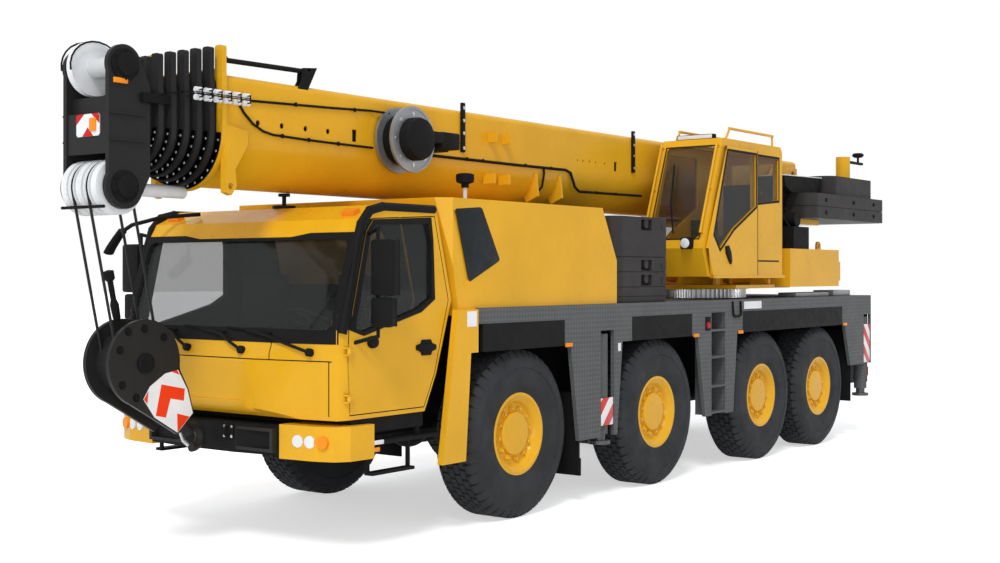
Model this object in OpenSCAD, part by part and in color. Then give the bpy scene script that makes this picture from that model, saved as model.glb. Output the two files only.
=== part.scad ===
// Four axle all terrain mobile crane with a seven section telescopic boom.
// Sizes are in millimetres. X points to the front, Y to the left, Z up from the ground.

/* [Carrier] */
// Place of the front axle ahead of the origin
front_axle_x = 2540; // [2500:5:2580]
// Distance from axle 1 to axle 2
axle_gap_12 = 2410; // [2380:5:2440]
// Distance from axle 2 to axle 3
axle_gap_23 = 2410; // [2380:5:2440]
// Distance from axle 3 to axle 4
axle_gap_34 = 1625; // [1600:5:1650]
// Distance between the middles of the left and right tyres
track_w = 2240; // [2220:2:2250]
// Height of the deck over the ground
deck_z = 1880; // [1870:1:1885]
// Overall width over the deck sides
body_w = 2720; // [2700:2:2740]
// Width of the box girder of the chassis
frame_w = 860; // [820:2:880]

/* [Wheels] */
// Outer diameter of a tyre
tyre_d = 1495; // [1460:1:1500]
// Width of a tyre
tyre_w = 435; // [420:1:440]
// Diameter over the rim flanges
rim_d = 738; // [720:1:750]
// Distance from a tyre's middle in to its kingpin
kingpin_in = 250; // [245:1:265]
// Radius of a kingpin
kingpin_r = 40; // [35:1:45]
// Radius of a wheel spindle
spindle_r = 80; // [70:1:90]

/* [Outriggers] */
// Width of an outrigger beam
beam_w = 210; // [190:1:214]
// Height of an outrigger beam
beam_h = 300; // [280:1:310]
// Radius of a jack tube
jack_r = 85; // [75:1:90]
// Radius of a jack rod
jack_rod_r = 60; // [50:1:65]

/* [Driver cab] */
// Half of the width of the driver's cab
cab_half_w = 1270; // [1250:1:1280]
// Thickness of the cab walls and doors
cab_wall = 60; // [50:1:64]

/* [Turntable] */
// Distance of the slewing axis behind the front axle
slew_back = 5200; // [5180:2:5220]
// Outer radius of the slewing ring
ring_r = 820; // [790:1:840]
// Thickness of the turntable's side plates
cheek_t = 50; // [40:1:55]
// Radius of the boom foot pin
foot_pin_r = 90; // [80:1:100]

/* [Crane cab] */
// Outer face of the crane cab from the middle
crane_cab_out = 1320; // [1310:1:1325]
// Inner face of the crane cab from the middle
crane_cab_in = 560; // [550:1:580]
// Thickness of the crane cab walls
crane_cab_wall = 45; // [35:1:50]

/* [Boom] */
// Height of the boom's base section
boom_h = 860; // [840:1:870]
// Width of the boom's base section
boom_w = 830; // [800:1:850]
// How much narrower and lower each next section is
section_step = 64; // [62:1:66]
// Wall of the boom sections
boom_wall = 14; // [10:1:16]
// Radius of the sheaves in the boom head
sheave_r = 205; // [190:1:210]
// Radius of the lift cylinder's barrel
lift_r = 138; // [120:1:140]
// Radius of the lift cylinder's rod
lift_rod_r = 95; // [80:1:100]

/* [Hidden] */
$fn = 48;

// Running gap of parts that slide or turn in each other, and gap of parts that only seat
run = 0.5;
seat = 0.3;
// Clearance round doors and other panels that open
panel_gap = 8;

// Places along the vehicle are counted from the front axle, forward is positive
axle_x = [0, -axle_gap_12, -axle_gap_12 - axle_gap_23, -axle_gap_12 - axle_gap_23 - axle_gap_34];
wheel_z = tyre_d / 2;
wheel_y = track_w / 2;
kingpin_y = wheel_y - kingpin_in;
side_y = body_w / 2;
skin_t = 40;
deck_t = 60;
deck_front = 660;
deck_rear = -8050;
skirt_z = 600;
strip_z = 1745;
arch_z = 1505;
frame_bottom = 940;
frame_nose = 840;

// Suspension cylinders and drive shafts
strut_y = 560;
strut_top = frame_bottom + 420;
shaft_z = wheel_z - 147;

// Rim and tyre section, radii from the wheel axis and widths from the wheel's middle
bead_r = rim_d / 2 - 24;
rim_half = tyre_w / 2 - 38;
rim_t = 14;
disc_y = 95;
disc_t = 22;
hub_r = 165;
hub_out = 168;

// Outriggers: front and rear boxes with one cell for each side's beam
cell_w = beam_w + 20;
cell_h = beam_h + 12;
cell_wall = 14;
beam_z = 700;
beam_out = side_y - 50;
beam_in = 1130;
jack_y = side_y - jack_r - 15;
jack_top = 1590;
jack_low = 620;
jack_foot_z = 520;
beam_x_left = [-1375, -7915];
beam_x_right = [-1125, -7675];

// Boom: it lies over the hood, and all its heights are counted from its own axis
hood_z = 2810;
boom_clear = 50;
boom_z = hood_z + boom_clear + boom_h / 2;
pivot_x = -7000;
pivot_z = boom_z + 30;
boom_tail = -7700;
section_rear = pivot_x + foot_pin_r + 80;
collar_x = 2650;
collar_l = 46;
collar_gap = 50;
collar_lip = 46;
fin_w = 84;
fin_h = 215;
fin_rise = 10;
head_rear = 3230;
head_front = head_rear + 380;
pin_x = head_front - 140;
pin_top_z = boom_z + 410;
pin_low_z = boom_z - 480;
head_half = 232;
head_plate_t = 40;
pin_r = 45;

// Turntable heights
ring_top = deck_z + 105;
base_top = ring_top + 45;
cheek_y = boom_w / 2 + 35;

// Lift cylinder: lower pin on the turntable and upper pin under the boom
lift_low = [-5100, ring_top + 205];
lift_top = [-1700, boom_z - 550];
lift_len = norm(lift_top - lift_low);
lift_angle = atan2(lift_top[1] - lift_low[1], lift_top[0] - lift_low[0]);
lift_eye_r = 112;
lift_eye_w = 200;
lift_pin_r = 50;
barrel_l = lift_len - 330;

// Crane cab tilts about a pin at its rear lower edge
tilt_x = -5250;
tilt_z = 2090;
tilt_y = [650, 1180];
tilt_pin_r = 14;
crane_floor = 2140;
platform_z = [2000, 2040];
door_split = -4625;
crane_door_t = 34;

// Hook and rope falls hang back from the lower head sheaves, with the block tied towards the bumper
fall_angle = 12;
fall_l = 1340;
block_tilt = 31;
block_r = 330;
rope_r = 11;

// Body colours
yellow = "#e9a91c";
charcoal = "#3a3a3c";
deck_grey = "#6b7175";
black = "#1b1c1e";
steel = "#b9bcc0";
white = "#eceef0";
glass = "#33403f";
orange = "#f08018";

// Shared shapes

// Moves what is drawn from the front axle to its place in the part
module carrier() {
  translate([front_axle_x, 0, 0]) children();
}

module both_sides() {
  children();
  mirror([0, 1, 0]) children();
}

module box(x, y, z) {
  translate([x[0], y[0], z[0]]) cube([x[1] - x[0], y[1] - y[0], z[1] - z[0]]);
}

// Plate from an outline in X and Z, between two places across
module side_plate(y) {
  translate([0, y[1], 0]) rotate([90, 0, 0]) linear_extrude(y[1] - y[0]) children();
}

// Plate from an outline in Y and Z, between two places along
module cross_plate(x) {
  translate([x[0], 0, 0]) rotate([90, 0, 90]) linear_extrude(x[1] - x[0]) children();
}

// Round bar across the vehicle
module cross_bar(x, y, z, r) {
  translate([x, y[0], z]) rotate([-90, 0, 0]) cylinder(h = y[1] - y[0], r = r);
}

// Round bar between two points
module bar(p, q, r) {
  v = q - p;
  translate(p) rotate([0, acos(v[2] / norm(v)), atan2(v[1], v[0])]) cylinder(h = norm(v), r = r);
}

// Rectangle with round corners, its lower left corner at p
module round_rect(p, w, h, r) {
  translate(p + [r, 0]) square([w - 2 * r, h]);
  translate(p + [0, r]) square([w, h - 2 * r]);
  for (x = [r, w - r], y = [r, h - r]) translate(p + [x, y]) circle(r);
}

function edge(a, b) = (b - a) / norm(b - a);
function left_of(u) = [-u[1], u[0]];

// Moves each corner of an outline in by t, for outlines that run anticlockwise
function inset(p, t) = [for (i = [0 : len(p) - 1])
  let (n = len(p),
       a = left_of(edge(p[(i + n - 1) % n], p[i])),
       b = left_of(edge(p[i], p[(i + 1) % n])))
  p[i] + (a + b) * t / (1 + a * b)];

// Wheels, knuckles and axles

// Half section of the tyre: flat tread, round shoulders and bulged side walls
module tyre_section() {
  half = tyre_w / 2;
  r = tyre_d / 2;
  shoulder = 70;
  depth = r - bead_r;
  bead_half = rim_half - 6;
  bulge_share = 0.46;
  bulge = [for (a = [-90 : 15 : 90])
    [bead_r + depth * bulge_share * (1 + sin(a)), bead_half + (half - bead_half) * cos(a)]];
  polygon(concat(bulge, [[r, half - shoulder], [r, shoulder - half]],
    [for (i = [len(bulge) - 1 : -1 : 0]) [bulge[i][0], -bulge[i][1]]]));
}

module rim_section() {
  r = bead_r - seat;
  translate([r - rim_t, -rim_half]) square([rim_t, 2 * rim_half]);
  for (y = [-rim_half, rim_half - rim_t])
    translate([r - rim_t, y]) square([rim_d / 2 - r + rim_t, rim_t]);
  translate([spindle_r + run, disc_y]) square([r - rim_t / 2 - spindle_r, disc_t]);
  translate([215, disc_y]) square([60, disc_t + 16]);
  polygon([[spindle_r + run, disc_y], [hub_r, disc_y], [hub_r, hub_out - 24], [hub_r - 24, hub_out],
    [0, hub_out], [0, hub_out - 28], [spindle_r + run, hub_out - 28]]);
}

// Wheel with its outer face towards +Y
module wheel() {
  rotate([-90, 0, 0]) {
    color("#232325") rotate_extrude($fn = 96) tyre_section();
    color(yellow) rotate_extrude($fn = 72) rim_section();
  }
}

// Turns a wheel-side piece to the left or right end of an axle
module at_wheel(axle, side) {
  carrier() translate([axle_x[axle - 1], side * wheel_y, wheel_z]) rotate(side > 0 ? 0 : 180) children();
}

// Steering knuckle: forked upright, brake drum and spindle
module knuckle() {
  arm_z = 190;
  arm_h = 68;
  upright = [-kingpin_in + 92, -40];
  color(charcoal) difference() {
    union() {
      box([-70, 70], upright, [-arm_z - arm_h, arm_z + arm_h]);
      for (z = [-arm_z - arm_h, arm_z]) {
        box([-70, 70], [-kingpin_in, upright[0]], [z, z + arm_h]);
        translate([0, -kingpin_in, z]) cylinder(h = arm_h, r = 70);
      }
      cross_bar(0, [-60, disc_y - 30], 0, 235);
      cross_bar(0, [-60, hub_out - 28 - seat], 0, spindle_r);
    }
    translate([0, -kingpin_in, -arm_z - arm_h - 1]) cylinder(h = 2 * (arm_z + arm_h + 1), r = kingpin_r + run);
  }
}

// Axle beam with its differential, kingpin eyes and suspension cylinders up to the chassis
module axle_beam() {
  eye_half = 185;
  pin_half = 258;
  cross_bar(0, [-kingpin_y, kingpin_y], 0, 100);
  sphere(r = 215);
  both_sides() {
    translate([0, kingpin_y, -eye_half]) cylinder(h = 2 * eye_half, r = 80);
    translate([0, kingpin_y, -pin_half]) cylinder(h = 2 * pin_half, r = kingpin_r);
    translate([0, strut_y, 0]) cylinder(h = strut_top - wheel_z, r = 62);
  }
}

module axles() {
  color("#2b2c2e") carrier() {
    for (x = axle_x) translate([x, 0, wheel_z]) axle_beam();
    for (i = [0 : 2]) bar([axle_x[i], 0, shaft_z], [axle_x[i + 1], 0, shaft_z], 45);
  }
}

// Chassis

// One outrigger box right across the chassis, with a cell for each side's beam
module outrigger_box(i) {
  x0 = min(beam_x_left[i], beam_x_right[i]) - cell_w / 2 - cell_wall;
  x1 = max(beam_x_left[i], beam_x_right[i]) + cell_w / 2 + cell_wall;
  half = jack_y - jack_r - 12;
  box([x0, x1], [-half, half], [beam_z - cell_wall - seat, beam_z + cell_h + cell_wall]);
}

module outrigger_cells(i) {
  for (x = [beam_x_left[i], beam_x_right[i]])
    box([x - cell_w / 2, x + cell_w / 2], [-side_y, side_y], [beam_z - seat, beam_z + cell_h]);
}

module chassis_frame() {
  half = frame_w / 2;
  wall = 40;
  nose_rear = 160;
  nose_z = 760;
  color(deck_grey) carrier() difference() {
    union() {
      box([deck_rear + 20, frame_nose], [-half, half], [frame_bottom, deck_z - deck_t]);
      box([nose_rear, bumper_back], [-half, half], [nose_z, sill_z]);
      for (i = [0, 1]) outrigger_box(i);
      for (x = axle_x) both_sides() {
        box([x - 110, x + 110], [half - 10, strut_y + 110], [strut_top, strut_top + 140]);
      }
      box([deck_rear, deck_rear + 20], [-beam_out, beam_out], [beam_z, deck_z - deck_t]);
    }
    for (i = [0, 1]) outrigger_cells(i);
    box([-7300, 100], [wall - half, half - wall], [frame_bottom - 1, frame_bottom + 300]);
    box([-400, bumper_back - wall], [wall - half, half - wall], [nose_z - 1, sill_z - 60]);
  }
}

module engine_block() {
  color("#44474a") carrier() box([-1250, 250], [-420, 420], [deck_z, deck_z + 640]);
}

// Deck

// Outline of a deck side with its arches and legs, from the front round by the bottom
skirt_points = [[deck_front, deck_z - deck_t], [deck_front, strip_z], [-640, strip_z], [-640, arch_z],
  [-740, arch_z], [-880, skirt_z], [-1553, skirt_z], [-1650, arch_z], [-1828, arch_z],
  [-1828, strip_z], [-3055, strip_z], [-3055, arch_z], [-3180, arch_z], [-3347, skirt_z + 20],
  [-3999, skirt_z + 20], [-4100, arch_z], [-4230, arch_z], [-4230, strip_z], [-7071, strip_z],
  [-7071, arch_z], [-7150, arch_z], [-7342, 960], [deck_rear, 960], [deck_rear, deck_z - deck_t]];
ladder_x = [-3810, -3490];
rung_z = [660, 945, 1265, 1560];

module deck_side(jacks) {
  side_plate([side_y - skin_t, side_y]) difference() {
    polygon(skirt_points);
    for (x = jacks) translate([x - cell_w / 2 - 5, 0]) square([cell_w + 10, 1624]);
    translate([ladder_x[0], skirt_z]) square([ladder_x[1] - ladder_x[0], strip_z - skirt_z]);
  }
  rung_in = side_y - 200;
  for (z = rung_z) box([ladder_x[0] - 5, ladder_x[1] + 5], [rung_in, side_y], [z - 22, z]);
  for (x = ladder_x)
    box([x - 8, x + 8], [rung_in, side_y - skin_t + 5], [skirt_z + 20, deck_z - deck_t]);
}

module deck_fenders() {
  color(deck_grey) carrier() {
    box([deck_rear, deck_front], [-side_y, side_y], [deck_z - deck_t, deck_z]);
    deck_side(beam_x_left);
    mirror([0, 1, 0]) deck_side(beam_x_right);
  }
}

// Black panels over the wheels, mud flaps, cab sill, steps, bumper middle and the boom rest
strips = [[597, -640], [-1828, -3055], [-4230, -7071]];
sill_z = 1050;
cab_top = hood_z - 90;
rest_x = 1610;

// Heights in the cab's outlines are drawn for a cab top at 2720 and stretched to the real one
function cab_z(z) = sill_z + (z - sill_z) * (cab_top - sill_z) / (2720 - sill_z);
function cab_outline(p) = [for (q = p) [q[0], cab_z(q[1])]];
rest_top = boom_z - boom_h / 2 - 6;

module dark_side() {
  for (s = strips) box([s[1], s[0]], [side_y - skin_t + 8, side_y], [arch_z, strip_z]);
  box([-950, -925], [900, side_y - skin_t], [400, 1050]);
  box([1262, 2120], [frame_w / 2, cab_half_w - 20], [sill_z - 120, sill_z]);
  box([1150, 1940], [cab_half_w - 70, cab_half_w + 60], [840, 870]);
  for (x = [1290, 1880]) box([x, x + 40], [cab_half_w - 60, cab_half_w - 30], [870, sill_z - 120]);
  for (x = [1420, 1900]) box([x, x + 24], [cab_half_w - 50, cab_half_w - 20], [625, 840]);
  box([1420, 1924], [cab_half_w - 55, cab_half_w + 30], [600, 625]);
}

// Tube along the cab's front pillar and over the door
pillar_r = 38;
pillar_side = [[2215, 1715], [2052, 2400], [2000, 2560], [1905, 2665], [1760, 2700], [1130, 2700]];
pillar_points = [for (q = pillar_side) [q[0], cab_half_w - 16, cab_z(q[1])]];

module pillar_tube() {
  for (i = [0 : len(pillar_points) - 2]) bar(pillar_points[i], pillar_points[i + 1], pillar_r - i * 0.5);
  for (i = [1 : len(pillar_points) - 2]) translate(pillar_points[i]) sphere(r = pillar_r + 0.5);
}

module dark_panels() {
  color(black) carrier() {
    both_sides() dark_side();
    difference() {
      both_sides() pillar_tube();
      cab_solid(-seat);
    }
    translate([0, 0, bumper_z[0] + 20]) linear_extrude(bumper_z[1] - bumper_z[0] - 40)
      polygon([[bumper_back, -bumper_split], [bumper_front - 55, -bumper_split], [bumper_front, -300],
        [bumper_front, 300], [bumper_front - 55, bumper_split], [bumper_back, bumper_split]]);
    translate([rest_x, 0, cab_top]) cylinder(h = 30, r = 100);
    translate([rest_x, 0, cab_top + 30]) cylinder(h = rest_top - 25 - cab_top - 30, r = 18);
    translate([rest_x, 0, rest_top - 25]) cylinder(h = 25, r = 50);
  }
}

// Driver's cab

bumper_z = [745, 1010];
bumper_front = 2450;
bumper_back = 2125;
bumper_split = 760;
lamp_y = [cab_half_w - 340, cab_half_w - 225, cab_half_w - 110];
lamp_r = 48;

module bumper_lamps(r, depth) {
  for (y = lamp_y) translate([2330 - (y - bumper_split) * 0.12, y, 890])
    rotate([0, 90, 12]) cylinder(h = depth, r = r);
}

module bumper_corner() {
  difference() {
    translate([0, 0, bumper_z[0]]) linear_extrude(bumper_z[1] - bumper_z[0])
      polygon([[bumper_front - 55, bumper_split], [bumper_front - 90, cab_half_w - 170],
        [2300, cab_half_w - 10], [2200, cab_half_w + 60], [1950, cab_half_w + 75],
        [1950, cab_half_w + 20], [bumper_back, cab_half_w - 20], [bumper_back, bumper_split]]);
    bumper_lamps(lamp_r + seat, 200);
  }
}

module front_bumper() {
  color(yellow) carrier() both_sides() bumper_corner();
}

// Outline of the cab's side, anticlockwise from its lower rear corner
cab_side = cab_outline([[1262, sill_z], [2310, sill_z], [2360, 1110], [2372, 1480], [2290, 1725],
  [2065, 2455], [1985, 2600], [1720, 2720], [1120, 2720], [915, 1955], [1115, 1348]]);
cab_nose_r = 6000;

// Plan of the cab: straight sides, round front corners and a bowed front
module cab_plan(t) {
  half = cab_half_w - t;
  intersection() {
    round_rect([0, -half], 2380 - t, 2 * half, 260 - t);
    translate([2380 - t - cab_nose_r, 0]) circle(cab_nose_r, $fn = 200);
  }
}

module cab_solid(t) {
  intersection() {
    side_plate([-cab_half_w - 10, cab_half_w + 10]) polygon(inset(cab_side, t));
    translate([0, 0, 800]) linear_extrude(2200) cab_plan(t);
  }
}

// Outline of a cab door and of its window
door_points = cab_outline([[1272, sill_z + 40], [2140, sill_z + 40], [2160, 1500], [2150, 1740], [1960, 2500],
  [1880, 2600], [1140, 2640], [960, 1955], [1140, 1352]]);
window_points = cab_outline([[1325, 1890], [1985, 1722], [2085, 1748], [1905, 2500], [1850, 2555],
  [1215, 2580], [1168, 2430], [1168, 1975]]);
glass_in = 20;
glass_t = 14;

module windscreen_cut(gap) {
  half = cab_half_w - 80 - gap;
  z = [cab_z(1742) + gap, cab_z(2440) - gap];
  cross_plate([1950, 2500]) round_rect([-half, z[0]], 2 * half, z[1] - z[0], 70);
}

module rear_window_cut(gap) {
  half = cab_half_w - 570 - gap;
  z = [cab_z(2080) + gap, cab_z(2540) - gap];
  cross_plate([800, 1200]) round_rect([-half, z[0]], 2 * half, z[1] - z[0], 60);
}

module cab_shell() {
  color(yellow) carrier() {
    both_sides() door_pins();
    cab_walls();
  }
}

module cab_walls() {
  difference() {
    cab_solid(0);
    cab_solid(cab_wall);
    both_sides() side_plate([cab_half_w - 370, cab_half_w + 10]) polygon(inset(door_points, -panel_gap));
    windscreen_cut(0);
    rear_window_cut(0);
  }
}

// Windscreen and rear window, each set in its opening
module cab_glass() {
  color(glass) carrier() intersection() {
    difference() {
      cab_solid(glass_in);
      cab_solid(glass_in + glass_t);
    }
    windscreen_cut(seat);
  }
  color(glass) carrier() intersection() {
    difference() {
      cab_solid(glass_in);
      cab_solid(glass_in + glass_t);
    }
    rear_window_cut(seat);
  }
}

module seat_shape(w) {
  box([-260, 240], [-w / 2, w / 2], [300, 430]);
  box([-360, -240], [-w / 2, w / 2], [300, 1050]);
  box([-200, 180], [-w / 2 + 60, w / 2 - 60], [0, 300]);
}

cab_floor = sill_z + cab_wall;
dash_z = cab_floor + 350;
seat_y = cab_half_w - 670;
steer_wheel_at = [1900, seat_y, 1790];

module cab_interior() {
  color("#2a2d31") carrier() {
    for (y = [-seat_y, seat_y]) translate([1560, y, cab_floor]) seat_shape(480);
    side_plate([220 - cab_half_w, cab_half_w - 220])
      polygon([[2060, dash_z], [2205, dash_z], [2175, 1730], [1960, 1700]]);
    box([2080, 2180], [270 - cab_half_w, cab_half_w - 270], [cab_floor, dash_z]);
    bar([2000, seat_y, 1600], steer_wheel_at, 24);
    translate(steer_wheel_at) rotate([0, -28, 0]) {
      rotate_extrude() translate([200, 0]) circle(15);
      box([-200, 200], [-18, 18], [-9, 9]);
    }
  }
}

// Door hinges: eyes on the door turn on pins held by brackets on the cab
hinge_x = 2174;
hinge_y = cab_half_w + 20;
hinge_z = [cab_z(1200), cab_z(1560)];
hinge_eye_h = 38;
hinge_pin_r = 9;

module door_eyes() {
  for (z = hinge_z) translate([hinge_x, hinge_y, z]) difference() {
    union() {
      cylinder(h = hinge_eye_h, r = 19);
      box([-60, 0], [-19, -1], [0, hinge_eye_h]);
      box([-60, -40], [-40, -1], [0, hinge_eye_h]);
    }
    translate([0, 0, -1]) cylinder(h = hinge_eye_h + 2, r = hinge_pin_r + run);
  }
}

module door_pins() {
  for (z = hinge_z) translate([hinge_x, hinge_y, z]) {
    translate([0, 0, -15]) cylinder(h = hinge_eye_h + 30, r = hinge_pin_r);
    for (dz = [-15, hinge_eye_h + run]) box([-10, 30], [-45, 12], [dz, dz + 15 - run]);
  }
}

module cab_door() {
  door_eyes();
  difference() {
    side_plate([cab_half_w - cab_wall, cab_half_w]) polygon(door_points);
    side_plate([cab_half_w - cab_wall - 1, cab_half_w + 1]) polygon(window_points);
    box([1190, 1330], [cab_half_w - 14, cab_half_w + 1], [cab_z(1535), cab_z(1600)]);
  }
}

// Mirrors on their tube arm at the front of the door
module door_mirrors() {
  arm_y = cab_half_w + 150;
  top = cab_z(2535);
  low = cab_z(1680);
  bar([1925, cab_half_w - 10, cab_z(2480)], [1990, arm_y, top - 15], 16);
  bar([1990, arm_y, top], [1990, arm_y, low], 14);
  bar([1990, arm_y, low + 10], [2090, cab_half_w - 10, low - 40], 16);
  box([1950, 2040], [arm_y - 20, arm_y + 190], [cab_z(2010), cab_z(2430)]);
  box([1950, 2040], [arm_y - 20, arm_y + 160], [cab_z(1770), cab_z(1985)]);
}

module cab_door_left() {
  color(yellow) carrier() {
    cab_door();
    door_mirrors();
  }
}

module cab_door_right() {
  color(yellow) carrier() mirror([0, 1, 0]) {
    cab_door();
    door_mirrors();
  }
}

module door_glass() {
  mid = cab_half_w - cab_wall / 2;
  side_plate([mid - 3, mid + 3]) polygon(inset(window_points, seat));
}

module door_glass_left() {
  color(glass) carrier() door_glass();
}

module door_glass_right() {
  color(glass) carrier() mirror([0, 1, 0]) door_glass();
}

roof_slope = atan2(cab_top - cab_z(2600), 1985 - 1720);

// Lamps: bumper lamps, roof markers and tail lamps
module lamps() {
  color(orange) carrier() both_sides() {
    bumper_lamps(lamp_r, 75);
    translate([1720, cab_half_w - 220, cab_top]) rotate([0, roof_slope, 0])
      box([160, 230], [-70, 70], [0, 40]);
    box([deck_rear - 60, deck_rear], [900, 1300], [780, 900]);
  }
}

// Engine hood with its fenders and the counterweight plates on the deck

hood_side = [[-1640, deck_z], [860, deck_z], [1040, hood_z], [-1380, hood_z], [-1640, hood_z - 510]];
hood_half = 1300;
hood_wall = 30;
fender_points = [[935, 1870], [660, 1870], [660, arch_z], [760, arch_z], [830, skirt_z], [1135, skirt_z]];
grille_points = [[930, hood_z - 110], [640, hood_z - 90], [430, hood_z - 520], [790, hood_z - 730]];

module hood_plan(t) {
  corner = 110;
  half = hood_half - t;
  nose = 1040 - t;
  polygon([[-1700, -half], [nose - corner, -half], [nose, corner - half], [nose, half - corner],
    [nose - corner, half], [-1700, half]]);
}

module hood_solid(t) {
  intersection() {
    side_plate([-hood_half, hood_half]) polygon(inset(hood_side, t));
    translate([0, 0, deck_z - 200]) linear_extrude(1300) hood_plan(t);
  }
}

module engine_hood() {
  color(yellow) carrier() {
    difference() {
      hood_solid(0);
      hood_solid(hood_wall);
      box([-1500, 800], [-hood_half + 60, hood_half - 60], [deck_z - 10, deck_z + 60]);
      both_sides() side_plate([hood_half - 12, hood_half + 5]) polygon(grille_points);
    }
    both_sides() {
      side_plate([side_y - 60, side_y]) polygon(fender_points);
      box([deck_front, 870], [0, side_y - 30], [deck_z - 60, deck_z]);
    }
  }
}

// Stack of counterweight plates, with a channel in the middle for the lift cylinder
stack_x = [-2720, -1650];
stack_half = 1290;
stack_h = hood_z - 60 - deck_z;
stack_shares = [0, 0.066, 0.177, 0.352, 0.526, 1];
stack_z = [for (t = stack_shares) deck_z + t * stack_h];
stack_corner = 130;
seam = 10;
pocket_x = [-2330, -2120];
pocket_d = 60;

module stack_outline(t) {
  difference() {
    round_rect([stack_x[0] + t, t - stack_half], stack_x[1] - stack_x[0] - 2 * t, 2 * (stack_half - t),
      stack_corner - t);
    children();
  }
}

// Channel through the upper plate for the lift cylinder
module lift_channel() {
  half = 320;
  translate([stack_x[0] - 10, -half]) square([stack_x[1] - stack_x[0] + 20, 2 * half]);
}

// Plate with a narrower foot, so that a seam shows between plates
module stack_plate(i) {
  h = stack_z[i + 1] - stack_z[i];
  top = i == len(stack_z) - 2;
  translate([0, 0, stack_z[i]]) linear_extrude(seam) stack_outline(seam) if (top) lift_channel();
  translate([0, 0, stack_z[i] + seam]) linear_extrude(h - seam) stack_outline(0) if (top) lift_channel();
}

// Tongue that a lifting sling goes round, in its pocket
module lifting_tongue(z) {
  x = (pocket_x[0] + pocket_x[1]) / 2 - 20;
  cross_bar(x, [stack_half - pocket_d - 5, stack_half - 12], z - 75, 40);
  box([x - 40, x + 40], [stack_half - pocket_d - 5, stack_half - 12], [z - 75, z - 25]);
}

module deck_counterweight() {
  tops = [for (i = [3 : 5]) stack_z[i]];
  color(charcoal) carrier() {
    difference() {
      for (i = [0 : len(stack_z) - 2]) stack_plate(i);
      both_sides() for (z = tops) box(pocket_x, [stack_half - pocket_d, stack_half + 5], [z - 135, z - 25]);
    }
    both_sides() for (z = tops) {
      lifting_tongue(z);
      box([-2590, -2530], [stack_half - 5, stack_half + 6], [z - 120, z - 60]);
    }
  }
}

// Turntable

// Outline of a gear ring from the tooth count
function gear(r, h, n) = [for (i = [0 : n - 1], k = [0 : 3])
  let (a = 360 * (i + [0, 0.25, 0.5, 0.75][k]) / n, q = k == 1 || k == 2 ? r + h : r)
  q * [cos(a), sin(a)]];

module at_slew() {
  carrier() translate([-slew_back, 0, 0]) children();
}

module slewing_ring() {
  color(steel) at_slew() translate([0, 0, deck_z]) difference() {
    linear_extrude(ring_top - deck_z - run) polygon(gear(ring_r - 26, 26, 84));
    translate([0, 0, -1]) cylinder(h = 200, r = ring_r - 190);
  }
}

// Outline of a turntable cheek, from the front lower corner round to the boom foot
cheek_points = [[-4350, base_top], [-4350, base_top + 170], [-4700, base_top + 390], [-5900, pivot_z - 680],
  [-6500, pivot_z - 270], [-6780, pivot_z + 170], [-6880, pivot_z + 300], [-7140, pivot_z + 300],
  [-7260, pivot_z + 170], [-7320, pivot_z - 420], [-7320, base_top]];
tail_box = [[-7100, -5620], [760, 1300], [2010, 2480]];
arm_x = [-7150, -6450];
weight_z = 2880;
tail_x = [-8750, -6300];
tail_z = [weight_z, 3200, 3460];
tail_slot = [-7880, 540];

// Tab behind a tail box and the lifting eye on it
module tail_fittings() {
  box([tail_box[0][0] - 190, tail_box[0][0]], [1180, 1240], [2080, 2330]);
  difference() {
    union() {
      cross_bar(-6880, [1090, 1120], tail_box[2][1] + 55, 55);
      box([-6935, -6825], [1090, 1120], [tail_box[2][1] - 5, tail_box[2][1] + 55]);
    }
    cross_bar(-6880, [1080, 1130], tail_box[2][1] + 55, 28);
  }
}

module turntable_frame() {
  color(yellow) {
    at_slew() translate([0, 0, ring_top]) cylinder(h = 45, r = ring_r + 30);
    carrier() {
      both_sides() {
        difference() {
          side_plate([cheek_y, cheek_y + cheek_t]) polygon(cheek_points);
          cross_bar(-6200, [cheek_y - 1, cheek_y + cheek_t + 1], base_top + 420, 150);
        }
        box([arm_x[0], arm_x[1]], [cheek_y + cheek_t, 1000], [weight_z - 70, weight_z]);
        box(tail_box[0], tail_box[1], tail_box[2]);
        box([-6900, -5700], [cheek_y + cheek_t, tail_box[1][0]], [2060, 2200]);
      }
      box([-7320, -4350], [-cheek_y - cheek_t, cheek_y + cheek_t], [ring_top, base_top]);
      cross_bar(pivot_x, [-cheek_y, cheek_y], pivot_z, foot_pin_r);
      both_sides() cross_bar(lift_low[0], [0, cheek_y], lift_low[1], lift_pin_r);
      box([tilt_x - 60, -4300], [cheek_y + cheek_t - 5, 1240], platform_z);
      for (y = tilt_y) {
        box([tilt_x - 18, tilt_x + 18], [y - 20, y + 20], [platform_z[1], tilt_z]);
        cross_bar(tilt_x, [y - 20, y + 20], tilt_z, 25);
        cross_bar(tilt_x, [y - 60, y], tilt_z, tilt_pin_r);
      }
      translate([-4400, 940, platform_z[1]]) cylinder(h = crane_floor - platform_z[1] - seat, r = 45);
      both_sides() tail_fittings();
      translate([-7950, 1000, tail_z[2] + seat]) cylinder(h = 310, r = 95);
    }
  }
}

// Tail counterweight: slabs open towards the boom foot, with a raised block on top
module tail_slab(x, half, z) {
  translate([0, 0, z[0]]) linear_extrude(z[1] - z[0]) difference() {
    round_rect([x[0], -half], x[1] - x[0], 2 * half, 160);
    translate([tail_slot[0], -tail_slot[1]]) square([x[1] - tail_slot[0] + 10, 2 * tail_slot[1]]);
  }
}

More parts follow.
